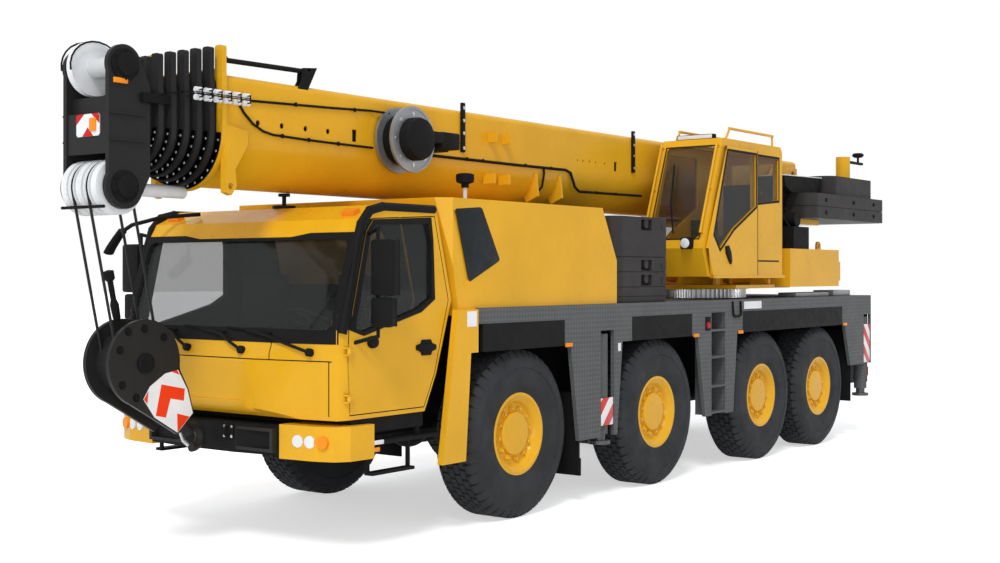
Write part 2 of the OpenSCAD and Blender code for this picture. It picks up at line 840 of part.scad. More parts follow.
module tail_counterweight() {
  mid = (weight_z + tail_z[1]) / 2;
  color(charcoal) carrier() {
    tail_slab(tail_x, 1300, [weight_z, mid - seam]);
    tail_slab(tail_x + [seam, -seam], 1300 - seam, [mid - seam, mid]);
    tail_slab(tail_x, 1300, [mid, tail_z[1]]);
    tail_slab([tail_x[0] + 250, tail_x[1] - 750], 1230, [tail_z[1], tail_z[2]]);
  }
}

winch_at = [-7080, 2360];
trough_points = [[-6850, tail_z[1] + seat], [-6100, tail_z[1] + seat], [-5910, tail_z[1] + 70],
  [-5880, tail_z[1] + 200], [-7000, tail_z[1] + 220], [-7000, tail_z[1] + 180]];

module winch() {
  color("#4a4d50") carrier() {
    cross_bar(winch_at[0], [seat - cheek_y, cheek_y - seat], winch_at[1], 120);
    for (y = [-330, 300]) cross_bar(winch_at[0], [y, y + 30], winch_at[1], 190);
    box([-6300, -5850], [900, 1240], [tail_box[2][1] + seat, 2760]);
    cross_bar(-6070, [950, 1190], 2850, 90);
    side_plate([700, 1100]) polygon(trough_points);
  }
}

// Crane cab

crane_side = [[-5350, crane_floor], [-3480, crane_floor], [-3350, 2450], [-3830, 3690], [-5300, 3690],
  [-5350, 3630]];
crane_door_z = 2155;
crane_door_points = [[door_split + 4, crane_door_z], [-3530, crane_door_z], [-3420, 2450], [-3860, 3600],
  [door_split + 4, 3600]];
crane_door_window = [[door_split + 60, 2950], [-4010, 2680], [-3690, 2450], [-3560, 2600], [-3880, 3540],
  [door_split + 60, 3540]];
crane_rear_window = [[-5250, 3050], [door_split - 60, 3000], [door_split - 60, 3540], [-5250, 3540]];

module crane_cab_solid(t) {
  side_plate([crane_cab_in + t, crane_cab_out - t]) polygon(inset(crane_side, t));
}

// Openings of the crane cab's windscreen, rear window and roof window
module crane_end_cuts(gap) {
  y = [crane_cab_in + 70 + gap, crane_cab_out - 70 - gap];
  cross_plate([-4100, -3200]) round_rect([y[0], 2560 + gap], y[1] - y[0], 1040 - 2 * gap, 50);
  box([-5400, -5280], y + [30, -30], [2900 + gap, 3500 - gap]);
  box([gap - 4900, -3950 - gap], y + [40, -40], [3600, 3700]);
}

module crane_cab_shell() {
  wall_y = [crane_cab_out - crane_cab_wall - 5, crane_cab_out + 5];
  color(yellow) carrier() {
    difference() {
      crane_cab_solid(0);
      crane_cab_solid(crane_cab_wall);
      side_plate(wall_y) polygon(inset(crane_door_points, 30));
      side_plate(wall_y) polygon(crane_rear_window);
      side_plate([crane_cab_in - 5, crane_cab_in + crane_cab_wall + 5]) polygon(crane_door_window);
      crane_end_cuts(0);
    }
    for (y = tilt_y) difference() {
      union() {
        cross_bar(tilt_x, [y - 55, y - 25], tilt_z, 36);
        box([tilt_x - 36, tilt_x + 36], [y - 55, y - 25], [tilt_z, crane_floor + 20]);
      }
      cross_bar(tilt_x, [y - 60, y], tilt_z, tilt_pin_r + run);
    }
    box([-5345, -3560], [crane_cab_out - 20, crane_cab_out + 36], [crane_floor - 18, crane_door_z - run]);
    roof_rails();
    for (y = [crane_cab_in + 28, crane_cab_out - 28]) pillar_rail(y);
  }
}

// Grab rail ahead of a front pillar of the crane cab, on three feet
module pillar_rail(y) {
  low = [-3405, y, 2600];
  high = [-3800, y, 3620];
  out = [56, 0, 22];
  for (t = [0.02, 0.5, 0.98]) bar(low + t * (high - low) - 0.2 * out, low + t * (high - low) + out, 9);
  bar(low + out, high + out, 13);
}

// Grab rails on the roof of the crane cab
module roof_rails() {
  r = 16;
  for (y = [crane_cab_in + 60, crane_cab_out - 60]) {
    bar([-4000, y, 3680], [-4110, y, 3820], r - 3);
    bar([-4095, y, 3820], [-5215, y, 3820], r);
    bar([-5200, y, 3820], [-5200, y, 3680], r - 3);
  }
}

module crane_cab_glass() {
  mid = crane_cab_wall / 2;
  color(glass) carrier() {
    intersection() {
      difference() {
        crane_cab_solid(mid - 5);
        crane_cab_solid(mid + 5);
      }
      union() {
        crane_end_cuts(seat);
        side_plate([crane_cab_out - crane_cab_wall, crane_cab_out]) polygon(inset(crane_rear_window, seat));
        side_plate([crane_cab_in, crane_cab_in + crane_cab_wall]) polygon(inset(crane_door_window, seat));
      }
    }
  }
}

module crane_cab_seat() {
  color("#26282b") carrier() {
    translate([-4750, (crane_cab_in + crane_cab_out) / 2, crane_floor + crane_cab_wall]) seat_shape(440);
    for (y = [crane_cab_in + 70, crane_cab_out - 190])
      box([-4800, -4350], [y, y + 120], [crane_floor + crane_cab_wall, 2800]);
  }
}

module crane_cab_door() {
  y0 = crane_cab_out + 6;
  color(yellow) carrier() {
    difference() {
      side_plate([y0, y0 + crane_door_t]) polygon(crane_door_points);
      side_plate([y0 - 1, y0 + crane_door_t + 1]) polygon(crane_door_window);
    }
    side_plate([y0 + 12, y0 + 20]) polygon(crane_door_window);
  }
}

// Boom

// Outline of a boom section: flat top with round edges and a half round belly, d mm smaller than the base
module boom_outline(d) {
  half = (boom_w - d) / 2;
  h = boom_h - d;
  r = 60;
  translate([-half, half - h / 2]) square([2 * half, h - half - r]);
  translate([0, half - h / 2]) circle(half, $fn = 72);
  translate([r - half, h / 2 - r - 1]) square([2 * half - 2 * r, r + 1]);
  for (y = [r - half, half - r]) translate([y, h / 2 - r]) circle(r);
}

// Tube of a boom section along the boom, from its rear to its front end
module boom_tube(x, d) {
  translate([0, 0, boom_z]) cross_plate(x) difference() {
    boom_outline(d);
    boom_outline(d + 2 * boom_wall);
  }
}

// Collar at the front of section n, which carries the next section on its pads, with a fin at each side
module boom_collar(n) {
  d = (n - 1) * section_step;
  fin_in = boom_w / 2 - d / 2 + collar_lip - 14 - fin_w;
  fin_top = boom_h / 2 - d / 2 + fin_h + (n - 1) * fin_rise;
  x0 = collar_x + (n - 1) * (collar_l + collar_gap);
  translate([0, 0, boom_z]) cross_plate([x0, x0 + collar_l]) difference() {
    union() {
      boom_outline(d - collar_lip * 2 + 20);
      for (side = [0, 1]) mirror([side, 0]) round_rect([fin_in, 0], fin_w, fin_top, fin_w / 4);
    }
    boom_outline(d + section_step - 2 * run);
  }
}

module boom_section(n) {
  d = (n - 1) * section_step;
  rear = section_rear + (n - 2) * 70;
  color(charcoal) carrier() {
    boom_tube([rear, collar_x + (n - 1) * (collar_l + collar_gap) + collar_l], d);
    boom_collar(n);
  }
}

module boom_section_2() { boom_section(2); }
module boom_section_3() { boom_section(3); }
module boom_section_4() { boom_section(4); }
module boom_section_5() { boom_section(5); }
module boom_section_6() { boom_section(6); }

// Head plate: round lugs about the two sheave pins, joined by a web
module head_plate() {
  translate([pin_x, pin_top_z]) circle(150);
  translate([pin_x, pin_low_z]) circle(165);
  polygon([[head_rear + 10, boom_z - 390], [head_rear + 80, boom_z - 530], [pin_x, pin_low_z - 150],
    [head_front, pin_low_z - 30], [head_front, pin_top_z + 20], [pin_x, pin_top_z + 140],
    [head_rear + 100, pin_top_z + 60], [head_rear + 10, boom_z + 270]]);
}

module boom_section_7() {
  d = 6 * section_step;
  rear = section_rear + 5 * 70;
  color(charcoal) carrier() {
    boom_tube([rear, head_rear + 32], d);
    difference() {
      union() {
        both_sides() side_plate([head_half, head_half + head_plate_t]) head_plate();
        box([head_rear, head_rear + 32], [-head_half, head_half], [boom_z - 290, boom_z + 270]);
        box([head_front - 40, head_front - 10], [-head_half, head_half], [boom_z - 240, boom_z + 60]);
        box([head_front - 110, head_front - 60], [-head_half, head_half], [boom_z + 50, boom_z + 185]);
        box([head_front - 110, head_front - 10], [-head_half, head_half], [boom_z + 40, boom_z + 60]);
        both_sides() for (z = [boom_z - 134, boom_z + 60])
          box([head_rear + 60, head_front - 6], [head_half + 5, head_half + head_plate_t + 16], [z - 14, z]);
      }
      for (z = [pin_top_z, pin_low_z]) cross_bar(pin_x, [-400, 400], z, pin_r + seat);
      translate([0, 0, boom_z]) cross_plate([head_rear - 50, head_rear + 20]) boom_outline(d + 2 * boom_wall);
    }
  }
}

// Rope sheave with a groove
sheave_w = 62;
sheave_pitch = 88;
groove_floor = sheave_r - 26;

module sheave(w) {
  half = w / 2;
  lip = half - 8;
  rotate([-90, 0, 0]) rotate_extrude($fn = 72)
    polygon([[pin_r + seat, -half], [sheave_r, -half], [sheave_r, -lip], [groove_floor, -8],
      [groove_floor, 8], [sheave_r, lip], [sheave_r, half], [pin_r + seat, half]]);
}

module head_sheaves() {
  pin_half = head_half + head_plate_t + 30;
  color(white) carrier() {
    for (i = [-2 : 2]) translate([pin_x, i * sheave_pitch, pin_low_z]) sheave(sheave_w);
    translate([pin_x, -110, pin_top_z]) sheave(sheave_w);
    for (z = [pin_low_z, pin_top_z]) cross_bar(pin_x, [-pin_half, pin_half], z, pin_r);
  }
}

// Base section with its foot, collar, jib cheeks and the lugs for the lift cylinder
cheek_outline = [[collar_x - 220, boom_z], [collar_x - 220, boom_z - 110], [collar_x - 90, boom_z - 310],
  [collar_x - 105, boom_z - 440], [collar_x - 50, boom_z - 510], [collar_x + 10, boom_z - 490],
  [collar_x + 10, boom_z + 40]];
boom_lugs = [[-720, 210], [-950, 210], [-690, -190], [-930, -190]];
boom_fins = [-1508, -1940];

module boom_lug() {
  side_plate([boom_w / 2 - 40, boom_w / 2 + 95]) polygon([[-14, -55], [14, -55], [14, 45], [-14, 45]]);
}

// Fin that stiffens the belly beside the lift cylinder's lugs
module boom_fin() {
  half = boom_w / 2;
  translate([0, 0, boom_z]) cross_plate([-16, 16])
    polygon([[half - 20, -90], [half + 4, -90], [half + 30, -330], [half - 110, -390], [half - 160, -310]]);
}

module boom_side_holes() {
  y = [boom_w / 2 - boom_wall - 20, boom_w / 2 + 20];
  for (x = [2294, 2034, 1767, 1504]) cross_bar(x, y, boom_z + 77, 24);
  for (x = [-2270, -2375, -2500, -2620, -2803]) cross_bar(x, y, boom_z + 88, 13);
  for (x = [-3027, 1180]) box([x - 30, x + 30], y, [boom_z + 15, boom_z + 120]);
}

module boom_base() {
  lug_in = lift_eye_w / 2 + 8;
  color(yellow) carrier() difference() {
    union() {
      boom_tube([boom_tail, collar_x + collar_l], 0);
      boom_collar(1);
      both_sides() {
        side_plate([lug_in, lug_in + 50]) translate(lift_top)
          polygon([[-260, 220], [-120, -90], [90, -90], [210, 220]]);
        cross_bar(lift_top[0], [lug_in + 50, lug_in + 75], lift_top[1], lift_pin_r + 20);
        side_plate([boom_w / 2 - 30, boom_w / 2 + 20]) {
          translate([pivot_x, pivot_z]) circle(230);
          polygon([[boom_tail, boom_z + 60], [pivot_x - 100, pivot_z - 190], [pivot_x, pivot_z + 220],
            [boom_tail + 60, boom_z + 330], [boom_tail, boom_z + 330]]);
        }
        side_plate([boom_w / 2 - 25, boom_w / 2 + 32]) polygon(cheek_outline);
        for (p = boom_lugs) translate([p[0], 0, boom_z + p[1]]) boom_lug();
        for (x = boom_fins) translate([x, 0, 0]) boom_fin();
      }
    }
    cross_bar(pivot_x, [-600, 600], pivot_z, foot_pin_r + run);
    translate([0, 0, boom_z]) cross_plate([lift_top[0] - 300, collar_x]) boom_outline(2 * boom_wall);
    both_sides() boom_side_holes();
    cross_bar(collar_x - 45, [-600, 600], boom_z - 440, 26);
    cross_bar(boom_tail + 130, [-600, 600], boom_z + 230, 60);
  }
}

reel_at = [660, boom_z + 65];

module cable_reel() {
  y0 = boom_w / 2;
  color("#8f9398") carrier() {
    cross_bar(reel_at[0], [y0 + seat, y0 + 230], reel_at[1], 110);
    for (y = [y0 + 30, y0 + 200]) cross_bar(reel_at[0], [y, y + 16], reel_at[1], 290);
    cross_bar(reel_at[0], [y0 + 230, y0 + 330], reel_at[1], 70);
  }
}

// Lift cylinder, drawn along its own axis from the lower pin

module along_lift() {
  carrier() translate([lift_low[0], 0, lift_low[1]]) rotate([0, 90 - lift_angle, 0]) children();
}

module lift_barrel() {
  color(yellow) along_lift() difference() {
    union() {
      translate([0, lift_eye_w / 2, 0]) rotate([90, 0, 0]) cylinder(h = lift_eye_w, r = lift_eye_r);
      translate([0, 0, 60]) cylinder(h = barrel_l - 60, r = lift_r);
    }
    translate([0, 200, 0]) rotate([90, 0, 0]) cylinder(h = 400, r = lift_pin_r + run);
    translate([0, 0, 250]) cylinder(h = barrel_l, r = lift_rod_r + run);
  }
}

module lift_rod() {
  color(steel) along_lift() {
    translate([0, lift_eye_w / 2, lift_len]) rotate([90, 0, 0]) cylinder(h = lift_eye_w, r = 85);
    translate([0, 0, 280]) cylinder(h = lift_len - 280, r = lift_rod_r);
  }
}

// Hook block with its rope falls, drawn hanging plumb below the lower head sheaves
groove_r = groove_floor + rope_r + run;
block_foot = -620;
hook_z = -850;
hook_ring_r = 80;

module rope_fall(y, x, l) {
  bar([x, y, 0], [x, y, -l], rope_r);
}

module rope_over_sheave(y) {
  translate([0, y, 0]) rotate([90, 0, 0]) rotate_extrude(angle = 180) translate([groove_r, 0]) circle(rope_r);
}

module hook_block_plate() {
  circle(block_r);
  polygon([[-310, -110], [-195, -280], [-150, -450], [-60, block_foot], [160, block_foot], [235, -360],
    [300, -140]]);
}

module hook_block() {
  plate_in = 120;
  color(black) carrier() translate([pin_x, 0, pin_low_z]) rotate([0, fall_angle, 0]) {
    for (y = [-sheave_pitch, sheave_pitch]) {
      rope_over_sheave(y);
      for (x = [-groove_r, groove_r]) rope_fall(y, x, fall_l - 60);
    }
    translate([0, 0, -fall_l]) rotate([0, block_tilt, 0]) {
      both_sides() side_plate([plate_in, plate_in + 35]) hook_block_plate();
      cross_bar(0, [-plate_in - 1, plate_in + 1], 0, 235);
      box([-60, 120], [-plate_in - 1, plate_in + 1], [block_foot + 40, block_foot + 200]);
      shank_z = hook_z + hook_ring_r - 20;
      translate([0, 0, shank_z]) cylinder(h = block_foot + 60 - shank_z, r = 55);
      translate([0, 0, hook_z]) rotate([90, -70, 0]) rotate_extrude(angle = 250)
        translate([hook_ring_r, 0]) circle(38);
    }
  }
}

// Outrigger beams and jacks, with x and side of each

module outrigger_beam(x, side) {
  color(deck_grey) carrier() mirror([0, side > 0 ? 0 : 1, 0]) difference() {
    union() {
      box([x - beam_w / 2, x + beam_w / 2], [-beam_in, jack_y - jack_r + 20], [beam_z, beam_z + beam_h]);
      translate([x, jack_y, jack_low]) cylinder(h = jack_top - jack_low, r = jack_r);
    }
    translate([x, jack_y, jack_low - 1]) cylinder(h = jack_top - jack_low - 40, r = jack_rod_r + run);
  }
}

module jack(x, side) {
  color(steel) carrier() mirror([0, side > 0 ? 0 : 1, 0]) {
    translate([x, jack_y, jack_foot_z + 30]) cylinder(h = jack_top - jack_foot_z - 120, r = jack_rod_r);
    translate([x, jack_y, jack_foot_z]) cylinder(h = 36, r = 110);
  }
}

module outrigger_beam_1_left() { outrigger_beam(beam_x_left[0], 1); }
module outrigger_beam_1_right() { outrigger_beam(beam_x_right[0], -1); }
module outrigger_beam_2_left() { outrigger_beam(beam_x_left[1], 1); }
module outrigger_beam_2_right() { outrigger_beam(beam_x_right[1], -1); }
module jack_1_left() { jack(beam_x_left[0], 1); }
module jack_1_right() { jack(beam_x_right[0], -1); }
module jack_2_left() { jack(beam_x_left[1], 1); }
module jack_2_right() { jack(beam_x_right[1], -1); }

chassis_frame();
axles();
deck_fenders();
dark_panels();
engine_block();
engine_hood();
deck_counterweight();
slewing_ring();
cab_shell();
cab_glass();
cab_interior();
front_bumper();
lamps();
at_wheel(1, 1) knuckle();  // knuckle_1_left
at_wheel(1, -1) knuckle();  // knuckle_1_right
at_wheel(2, 1) knuckle();  // knuckle_2_left
at_wheel(2, -1) knuckle();  // knuckle_2_right
at_wheel(3, 1) knuckle();  // knuckle_3_left
at_wheel(3, -1) knuckle();  // knuckle_3_right
at_wheel(4, 1) knuckle();  // knuckle_4_left
at_wheel(4, -1) knuckle();  // knuckle_4_right
at_wheel(1, 1) wheel();  // wheel_1_left
at_wheel(1, -1) wheel();  // wheel_1_right
at_wheel(2, 1) wheel();  // wheel_2_left
at_wheel(2, -1) wheel();  // wheel_2_right
at_wheel(3, 1) wheel();  // wheel_3_left
at_wheel(3, -1) wheel();  // wheel_3_right
at_wheel(4, 1) wheel();  // wheel_4_left
at_wheel(4, -1) wheel();  // wheel_4_right
cab_door_left();
cab_door_right();
door_glass_left();
door_glass_right();
outrigger_beam_1_left();
outrigger_beam_1_right();
outrigger_beam_2_left();
outrigger_beam_2_right();
jack_1_left();
jack_1_right();
jack_2_left();
jack_2_right();
turntable_frame();
tail_counterweight();
winch();
crane_cab_shell();
crane_cab_glass();
crane_cab_seat();
crane_cab_door();
boom_base();
cable_reel();
boom_section_2();
boom_section_3();
boom_section_4();
boom_section_5();
boom_section_6();
boom_section_7();
head_sheaves();
lift_barrel();
lift_rod();
hook_block();
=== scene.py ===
"""Looks of the mobile crane: finishes for its solids and the small parts that go on them."""
import math

import bmesh
import bpy
from mathutils import Matrix, Vector


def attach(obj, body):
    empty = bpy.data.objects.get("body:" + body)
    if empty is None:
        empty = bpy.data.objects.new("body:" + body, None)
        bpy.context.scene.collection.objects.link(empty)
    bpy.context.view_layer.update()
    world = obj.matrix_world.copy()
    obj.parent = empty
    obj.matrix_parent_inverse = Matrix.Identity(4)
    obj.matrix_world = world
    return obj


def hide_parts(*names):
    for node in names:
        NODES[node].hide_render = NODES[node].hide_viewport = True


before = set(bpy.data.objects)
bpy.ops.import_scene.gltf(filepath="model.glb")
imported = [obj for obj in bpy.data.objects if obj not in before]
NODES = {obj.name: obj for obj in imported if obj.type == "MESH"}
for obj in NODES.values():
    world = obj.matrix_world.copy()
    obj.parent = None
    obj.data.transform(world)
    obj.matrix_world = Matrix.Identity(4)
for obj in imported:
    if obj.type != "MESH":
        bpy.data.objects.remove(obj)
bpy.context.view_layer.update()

# Places along the vehicle are counted from the front axle, as in the part's source, in metres
FRONT_AXLE = 2.540
AXLES = [0.0, -2.410, -4.820, -6.445]
WHEEL_Y = 1.120
WHEEL_Z = 0.7475
SIDES = (("left", 1), ("right", -1))
DECK_Z = 1.880
SIDE_Y = 1.360
AHEAD, ACROSS, UP = (1, 0, 0), (0, 1, 0), (0, 0, 1)


def add_node(tree, kind, inputs=None, **settings):
    """A new node with its settings. Each input is given a value or joined to an output."""
    node = tree.nodes.new(kind)
    for setting, value in settings.items():
        setattr(node, setting, value)
    for key, value in (inputs or {}).items():
        if isinstance(value, bpy.types.NodeSocket):
            tree.links.new(value, node.inputs[key])
        else:
            node.inputs[key].default_value = value
    return node


# Finishes

MIX_A, MIX_B, MIX_RESULT = 6, 7, 2  # the colour sockets of a Mix node
DUST = (0.20, 0.17, 0.13, 1)
SHEEN = 0.12


def tint(colour, k):
    return (*(min(1, c * k) for c in colour[:3]), 1)


class Finish:
    """A node material under construction: short calls for the nodes that the finishes share."""

    def __init__(self, name):
        self.material = bpy.data.materials.new(name)
        self.material.use_nodes = True
        self.tree = self.material.node_tree
        self.shader = self.tree.nodes["Principled BSDF"]
        self.place = self.add("TexCoord").outputs["Object"]

    def add(self, kind, inputs=None, **settings):
        return add_node(self.tree, "ShaderNode" + kind, inputs, **settings)

    def set(self, **values):
        for socket, value in values.items():
            self.shader.inputs[socket.replace("_", " ")].default_value = value

    def join(self, output, socket):
        self.tree.links.new(output, self.shader.inputs[socket])

    def noise(self, scale, detail=3.0, rough=0.55):
        inputs = {"Scale": scale, "Detail": detail, "Roughness": rough, "Vector": self.place}
        return self.add("TexNoise", inputs).outputs["Fac"]

    def spread(self, value, lo, hi, to_lo, to_hi):
        return self.add("MapRange", dict(enumerate((value, lo, hi, to_lo, to_hi)))).outputs[0]

    def patches(self, scale, detail=3.0, lo=0.0, hi=1.0):
        """Soft patches from lo to hi."""
        return self.spread(self.noise(scale, detail), 0.3, 0.7, lo, hi)

    def mix(self, share, a, b):
        return self.add("Mix", {0: share, MIX_A: a, MIX_B: b}, data_type="RGBA").outputs[MIX_RESULT]

    def mottled(self, colour, amount, scale, detail=3.0):
        """A colour in patches that are lighter and darker by an amount."""
        return self.mix(self.patches(scale, detail), tint(colour, 1 - amount), tint(colour, 1 + amount))

    def math(self, op, a, b):
        return self.add("Math", {0: a, 1: b}, operation=op).outputs[0]

    def axis(self, name):
        return self.add("SeparateXYZ", {0: self.place}).outputs[name]

    def bump(self, height, strength, distance):
        bump = self.add("Bump", {"Strength": strength, "Distance": distance, "Height": height})
        self.join(bump.outputs[0], "Normal")


def paint(name, colour, rough, coat=0.0, mottle=0.06, dust=0.25, grain=0.02):
    """Sprayed paint: slight unevenness, orange peel, and road dust that thins out with height."""
    f = Finish(name)
    low = f.spread(f.axis("Z"), 0.3, 1.7, dust, 0.0)
    film = f.math("MULTIPLY", low, f.spread(f.noise(5.0, 6.0, 0.7), 0.35, 0.7, 0.0, 1.0))
    f.join(f.mix(film, f.mottled(colour, mottle, 1.7), DUST), "Base Color")
    f.join(f.patches(9.0, 4.0, rough - 0.05, rough + 0.07), "Roughness")
    f.bump(f.noise(140.0, 2.0), grain, 0.002)
    f.set(Coat_Weight=coat, Coat_Roughness=0.08, Specular_IOR_Level=SHEEN)
    return f.material


def plain(name, colour, rough, metallic=0.0, grain=0.05, scale=90.0, mottle=0.08, sheen=SHEEN):
    """Moulded, cast or bare surface with a fine grain."""
    f = Finish(name)
    f.join(f.mottled(colour, mottle, 4.0, 5.0), "Base Color")
    f.join(f.patches(12.0, 4.0, rough - 0.06, rough + 0.08), "Roughness")
    f.bump(f.noise(scale, 3.0), grain, 0.002)
    f.set(Metallic=metallic, Specular_IOR_Level=sheen)
    return f.material


def studded(name, colour):
    """Sheet with rows of small pressed studs."""
    f = Finish(name)
    grid = f.add("TexVoronoi", {"Scale": 22.0, "Randomness": 0.0, "Vector": f.place})
    stud = f.spread(grid.outputs["Distance"], 0.18, 0.32, 1.0, 0.0)
    worn = f.math("MULTIPLY", stud, 0.45)
    f.join(f.mix(worn, f.mottled(colour, 0.1, 3.0, 5.0), tint(colour, 1.9)), "Base Color")
    f.join(f.patches(14.0, 4.0, 0.5, 0.68), "Roughness")
    f.bump(stud, 0.5, 0.003)
    f.set(Specular_IOR_Level=SHEEN)
    return f.material


def window(name, colour, cover, rough=0.02):
    """Tinted pane: a thin dark film that lets most of the light straight through."""
    f = Finish(name)
    f.join(f.mottled(colour, 0.06, 2.0, 4.0), "Base Color")
    f.join(f.spread(f.noise(7.0, 4.0), 0.4, 0.7, rough, rough + 0.02), "Roughness")
    f.set(Alpha=cover)
    return f.material


def banded(name, first, second, step, slope):
    """Slanting bands of two colours, for the warning boards."""
    f = Finish(name)
    along = f.math("ADD", f.axis("Z"), f.math("MULTIPLY", f.axis("X"), slope))
    part = f.math("FRACT", f.math("DIVIDE", along, step), 0.0)
    f.join(f.mix(f.math("GREATER_THAN", part, 0.5), first, second), "Base Color")
    f.join(f.patches(20.0, lo=0.28, hi=0.42), "Roughness")
    return f.material


YELLOW = paint("crane_yellow", (0.76, 0.395, 0.014), 0.30, coat=0.12, dust=0.06)
CHARCOAL = paint("charcoal_paint", (0.018, 0.0175, 0.0175), 0.42, mottle=0.12, dust=0.12)
WEIGHT = paint("counterweight_paint", (0.036, 0.033, 0.032), 0.55, mottle=0.15, dust=0.2, grain=0.12)
DECK = studded("deck_sheet", (0.098, 0.101, 0.102))
GRILLE_MESH = studded("grille_mesh", (0.016, 0.019, 0.022))
UNDER = plain("underbody_black", (0.009, 0.009, 0.0095), 0.62, grain=0.1, sheen=0.06)
BLACK = plain("moulded_black", (0.011, 0.011, 0.0115), 0.50, sheen=0.05)
SEAT = plain("seat_cloth", (0.018, 0.019, 0.020), 0.85, grain=0.005)
LINING = plain("cab_lining", (0.020, 0.021, 0.022), 0.75, grain=0.02)
STEEL = plain("bare_steel", (0.55, 0.56, 0.57), 0.30, metallic=1.0, grain=0.03)
CHROME = plain("chromed_rod", (0.52, 0.53, 0.54), 0.16, metallic=1.0, grain=0.01)
NYLON = plain("white_nylon", (0.80, 0.81, 0.82), 0.42, grain=0.03)
RUBBER = plain("tyre_rubber", (0.034, 0.035, 0.038), 0.72, grain=0.2, scale=160.0, mottle=0.25)
GALVANISED = plain("galvanised_sheet", (0.30, 0.31, 0.32), 0.45, metallic=0.7, grain=0.06)
AMBER = plain("amber_lens", (0.90, 0.27, 0.015), 0.18, grain=0.02)
RED = plain("red_lens", (0.55, 0.015, 0.012), 0.2, grain=0.02)
SIGNAL = plain("signal_red", (0.85, 0.050, 0.010), 0.4, grain=0.02)
JACK = plain("jack_steel", (0.10, 0.10, 0.105), 0.40, metallic=0.5, grain=0.06)
CLEAR = plain("clear_lens", (0.75, 0.77, 0.78), 0.10, grain=0.02)
GLASS = window("tinted_glass", (0.020, 0.025, 0.023), 0.28)
ALUMINIUM = plain("aluminium_sheet", (0.62, 0.63, 0.64), 0.45, grain=0.05)
STRIPE_STEP, STRIPE_SLOPE = 0.26, 1.1
STRIPES = [banded("warning_stripes_%d" % i, (0.80, 0.80, 0.78, 1), (0.62, 0.02, 0.015, 1), STRIPE_STEP, slope)
           for i, slope in ((1, STRIPE_SLOPE), (2, -STRIPE_SLOPE))]

NODE_FINISH = {
    "chassis_frame": UNDER, "axles": UNDER, "deck_fenders": DECK, "dark_panels": BLACK,
    "engine_block": UNDER, "engine_hood": YELLOW, "deck_counterweight": WEIGHT, "slewing_ring": STEEL,
    "cab_shell": YELLOW, "cab_glass": GLASS, "cab_interior": SEAT, "front_bumper": YELLOW,
    "lamps": AMBER, "turntable_frame": YELLOW, "tail_counterweight": WEIGHT, "winch": UNDER,
    "crane_cab_shell": YELLOW, "crane_cab_glass": GLASS, "crane_cab_seat": SEAT,
    "crane_cab_door": YELLOW, "boom_base": YELLOW, "cable_reel": GALVANISED, "head_sheaves": NYLON,
    "lift_barrel": YELLOW, "lift_rod": CHROME, "hook_block": CHARCOAL,
}
for n in range(2, 8):
    NODE_FINISH["boom_section_%d" % n] = CHARCOAL
for side, _ in SIDES:
    NODE_FINISH["cab_door_" + side] = YELLOW
    NODE_FINISH["door_glass_" + side] = GLASS
    for i in (1, 2):
        NODE_FINISH["outrigger_beam_%d_%s" % (i, side)] = DECK
        NODE_FINISH["jack_%d_%s" % (i, side)] = JACK
    for a in range(1, 5):
        NODE_FINISH["knuckle_%d_%s" % (a, side)] = UNDER
        NODE_FINISH["wheel_%d_%s" % (a, side)] = RUBBER
for name, node in NODES.items():
    node.data.materials.clear()
    node.data.materials.append(NODE_FINISH[name])


# Camera, light and floor

CAMERA_PLACE = (12.2516, 8.4041, 2.1730)
CAMERA_YAW, CAMERA_PITCH = math.radians(-143.0645), math.radians(0.072)
CAMERA_LENS, CAMERA_SENSOR = 48.67, 36.0
CAMERA_SHIFT = (-0.00104, -0.00962)
KEY_ENERGY, KEY_SPREAD, KEY_AIM = 1.45, math.radians(14), (-0.75, -0.38, -0.95)
FILL_ENERGY, FILL_SIZE = 800.0, 8.0
FILL_AIM, FILL_PLACE = (-15.0, -9.5, 2.2), (15.5, 10.5, 0.8)
FLOOR_HALF, FLOOR_LIFT = 120.0, 0.55
AMBIENT, AMBIENT_COLOUR = 0.66, (0.93, 0.96, 1.0, 1)


def link(name, data):
    """A new object in the scene."""
    obj = bpy.data.objects.new(name, data)
    bpy.context.scene.collection.objects.link(obj)
    return obj


def aim_camera():
    camera = bpy.data.cameras.new("photo_view")
    camera.lens = CAMERA_LENS
    camera.sensor_width = CAMERA_SENSOR
    camera.shift_x, camera.shift_y = CAMERA_SHIFT
    camera.clip_end = 500.0
    flat = math.cos(CAMERA_PITCH)
    ahead = Vector((flat * math.cos(CAMERA_YAW), flat * math.sin(CAMERA_YAW), math.sin(CAMERA_PITCH)))
    right = ahead.cross(Vector(UP)).normalized()
    turn = Matrix((right, right.cross(ahead), -ahead)).transposed().to_4x4()
    obj = link("photo_view", camera)
    obj.matrix_world = Matrix.Translation(CAMERA_PLACE) @ turn
    bpy.context.scene.camera = obj


def light(lamp, energy, aim, place=(0, 0, 0)):
    lamp.energy = energy
    obj = link(lamp.name, lamp)
    obj.rotation_euler = Vector(aim).to_track_quat("-Z", "Y").to_euler()
    obj.location = place


def light_scene():
    key = bpy.data.lights.new("key", "SUN")
    key.angle = KEY_SPREAD
    light(key, KEY_ENERGY, KEY_AIM)
    low = bpy.data.lights.new("low_fill", "AREA")
    low.size = FILL_SIZE
    light(low, FILL_ENERGY, FILL_AIM, FILL_PLACE)


def seen_rays(tree):
    """1 for rays that show a surface directly, mirrored or through glass, and 0 for those that light it."""
    path = add_node(tree, "ShaderNodeLightPath").outputs
    total = path["Is Camera Ray"]
    for other in ("Is Glossy Ray", "Is Transmission Ray"):
        both = add_node(tree, "ShaderNodeMath", {0: total, 1: path[other]}, operation="MAXIMUM")
        total = both.outputs[0]
    return total


